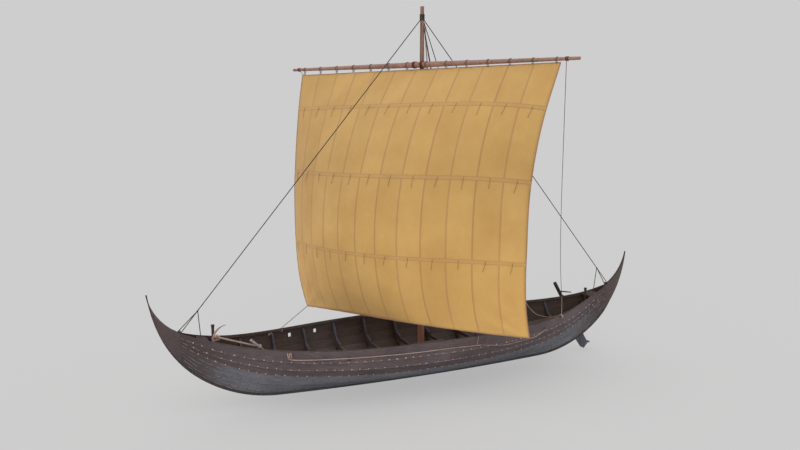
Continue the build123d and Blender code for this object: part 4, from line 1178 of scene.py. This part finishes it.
def running_rigging():
    """Braces, sheets, tack line, halyard and their lashings."""
    arm_height = YARD_HEIGHT - 0.05
    tied("port_brace", [at(*PORT_BRACE_FOOT), at(3.84, -1.10, 3.0), at(3.55, -1.45, 4.6),
                        rig(4.07, YARD_AHEAD, arm_height)], LINE_RADIUS, BROWN_ROPE, "dark_rope")
    tied("starboard_brace", [at(*STARBOARD_BRACE_FOOT), at(2.6, 1.5, 3.0),
                             rig(-4.15, YARD_AHEAD, arm_height)], LINE_RADIUS, BROWN_ROPE, "dark_rope")
    port_clew, starboard_clew = sail_point(1.0, FOOT), sail_point(0.0, FOOT)
    for name, foot, clew, sag, material, slot in (
            ("starboard_tack", at(-3.51, 1.13, 1.46), starboard_clew, 0.0, BROWN_ROPE, "dark_rope"),
            ("port_bowline", at(*BOWLINE_FOOT), port_clew, 0.08, TAN_ROPE, "anchor_rope"),
            ("port_sheet", at(3.29, -1.235, 1.255), port_clew, 0.05, TAN_ROPE, "anchor_rope")):
        tied(name, [foot, foot.lerp(clew, 0.5) - UP * sag, clew], SHEET_RADIUS, material, slot)

    tan, dark, knots = Shape(), Shape(), Shape()
    for radius, sides, *points in DECK_LINES:
        laid_rope(tan, curved([at(*point) for point in points]), radius, sides)
    turns_on(tan, GUNWALE_TURNS)
    tan.piece("deck_ropes", TAN_ROPE, "hull", "anchor_rope")
    for radius, sides, *ends in DARK_LINES:
        laid_rope(dark, [at(*end) for end in ends], radius, sides)
    turns_on(dark, BEAM_TURNS)
    dark.piece("halyard_ropes", BROWN_ROPE, "hull", "dark_rope")
    for turn in range(4):
        for side in (-1, 1):
            centre = rig(side * (0.085 + 0.022 * turn), YARD_AHEAD, YARD_HEIGHT)
            lashing(knots, centre, YARD_OUT, UP, YARD_RADIUS + 0.008, 1, 0.009, 0.03)
    for out in YARD_END_TURNS:
        centre = rig(out, YARD_AHEAD, YARD_HEIGHT)
        lashing(knots, centre, YARD_OUT, UP, yard_radius(out) + 0.006, 2, 0.008, 0.03)
    knots.piece("yard_lashings", RED_ROPE, "yard", "dark_rope")


ANCHOR_CROWN = at(-5.475, -0.095, 1.81)


def anchor_ropes():
    """Rope bundle at the anchor's crown and the lashing of its stock, read from the CAD bars."""
    low, high = bars("anchor_stock")[0]
    tan = Shape()
    for k in range(5):
        centre = ANCHOR_CROWN + Vector((0.014 * k, 0.0, -0.02 + 0.006 * k))
        lashing(tan, centre, (1, 0.1, -0.25), UP, 0.036 + 0.003 * (k % 2), 1, 0.011, 0.012)
    for k in range(3):
        middle = ANCHOR_CROWN + Vector((0.05 * k - 0.03, 0.02 * k - 0.07, -0.035))
        loop = [middle + (AHEAD * cos(turn) + UP * sin(turn)) * 0.055
                for turn in (2 * pi * n / 16 for n in range(17))]
        laid_rope(tan, loop, 0.0105, 7)
    middle = high.lerp(low, 0.284)
    along = (low - high).normalized()
    for side in (-1, 1):
        lashing(tan, middle, along + Vector((0.25 * side, 0, 0.25)), ACROSS, 0.046, 4, 0.008, 0.05)
    tan.piece("anchor_lashings", TAN_ROPE, "hull", "anchor_rope")


# Floor, light and camera
def surroundings():
    floor_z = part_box("rudder")[0].z - FLOOR_BELOW_RUDDER
    mesh = bpy.data.meshes.new("floor")
    corners = [(x * FLOOR_HALF, y * FLOOR_HALF, floor_z) for x, y in ((-1, -1), (1, -1), (1, 1), (-1, 1))]
    mesh.from_pydata(corners, [], [(0, 1, 2, 3)])
    floor = linked("floor", mesh)
    pale = linear(BACKDROP, BACKDROP, BACKDROP)
    finish = Finish("floor", 1.0, 0.0)
    finish.shader.inputs["Base Color"].default_value = pale
    # The photograph's shadow is faint: the camera sees the floor mixed with its own flat colour.
    flat = finish.node("ShaderNodeEmission", {"Color": pale})
    seen = finish.times(finish.node("ShaderNodeLightPath").outputs["Is Camera Ray"], SHADOW_FAINT)
    both = finish.node("ShaderNodeMixShader", {
        0: seen, 1: finish.shader.outputs["BSDF"], 2: flat.outputs["Emission"]})
    finish.feed(finish.tree.nodes["Material Output"].inputs["Surface"], both.outputs["Shader"])
    mesh.materials.append(finish.material)

    world = bpy.data.worlds.new("studio")
    bpy.context.scene.world = world
    bpy.context.scene.view_settings.view_transform = "Standard"
    world.use_nodes = True
    sky = Tree(world.node_tree)
    back = sky.tree.nodes["Background"]
    back.inputs["Color"].default_value = (1, 1, 1, 1)
    back.inputs["Strength"].default_value = WORLD_LIGHT
    seen = sky.node("ShaderNodeBackground", {"Color": pale})
    camera_ray = sky.node("ShaderNodeLightPath").outputs["Is Camera Ray"]
    both = sky.node("ShaderNodeMixShader", {
        0: camera_ray, 1: back.outputs["Background"], 2: seen.outputs["Background"]})
    sky.feed(sky.tree.nodes["World Output"].inputs["Surface"], both.outputs["Shader"])

    sun_data = bpy.data.lights.new("key", "SUN")
    sun_data.energy = (1 - WORLD_LIGHT) * pi / cos(SUN_LEAN)
    sun_data.angle = SUN_SIZE
    sun = linked("key", sun_data)
    sun.rotation_euler = (SUN_LEAN, 0, SUN_TURN)


def camera():
    data = bpy.data.cameras.new("camera")
    data.lens = LENS
    data.sensor_width = SENSOR
    data.clip_start = 0.1
    data.clip_end = 2000
    made = linked("camera", data)
    made.location = CAMERA_AT
    made.rotation_euler = (radians(90 - CAMERA_DOWN), 0, radians(-CAMERA_PAN))
    bpy.context.scene.camera = made


NODE_FINISHES = [
    (SPINE_WOOD, ["keel"]),
    (STEM_WOOD, ["bow_stem", "stern_stem"]),
    (BEAM_WOOD, ["floor_timbers", "crossbeams", "end_beams", "breasthooks"]),
    (SIDE_WOOD, ["gunwale_rails", "keelson", "mast_partner"]),
    (KNEE_WOOD, ["knees", "shroud_cleats"]),
    (DECK_WOOD, ["fore_deck", "aft_deck"]),
    (MAST_WOOD, ["mast"]),
    (YARD_WOOD, ["yard"]),
    (DARK_WOOD, ["parrel", "tiller", "bow_post", "stern_post", "rudder_strap", "rudder_boss"]),
    (RUDDER_WOOD, ["rudder"]),
    (ANCHOR_SKIN, ["anchor"]),
    (GREY_WOOD, ["anchor_stock"]),
]


def main():
    for material, names in NODE_FINISHES:
        for name in names:
            mesh = nodes[name].data
            mesh.materials.clear()
            mesh.materials.append(material)
    planks()
    rivets()
    cloth, area = sail()
    work = sail_work()
    robands()
    standing_rigging()
    running_rigging()
    anchor_ropes()
    carved_stem("carved_bow", -1)
    carved_stem("carved_stern", 1)
    stem_tips()
    surroundings()
    camera()
    bpy.context.view_layer.update()


main()
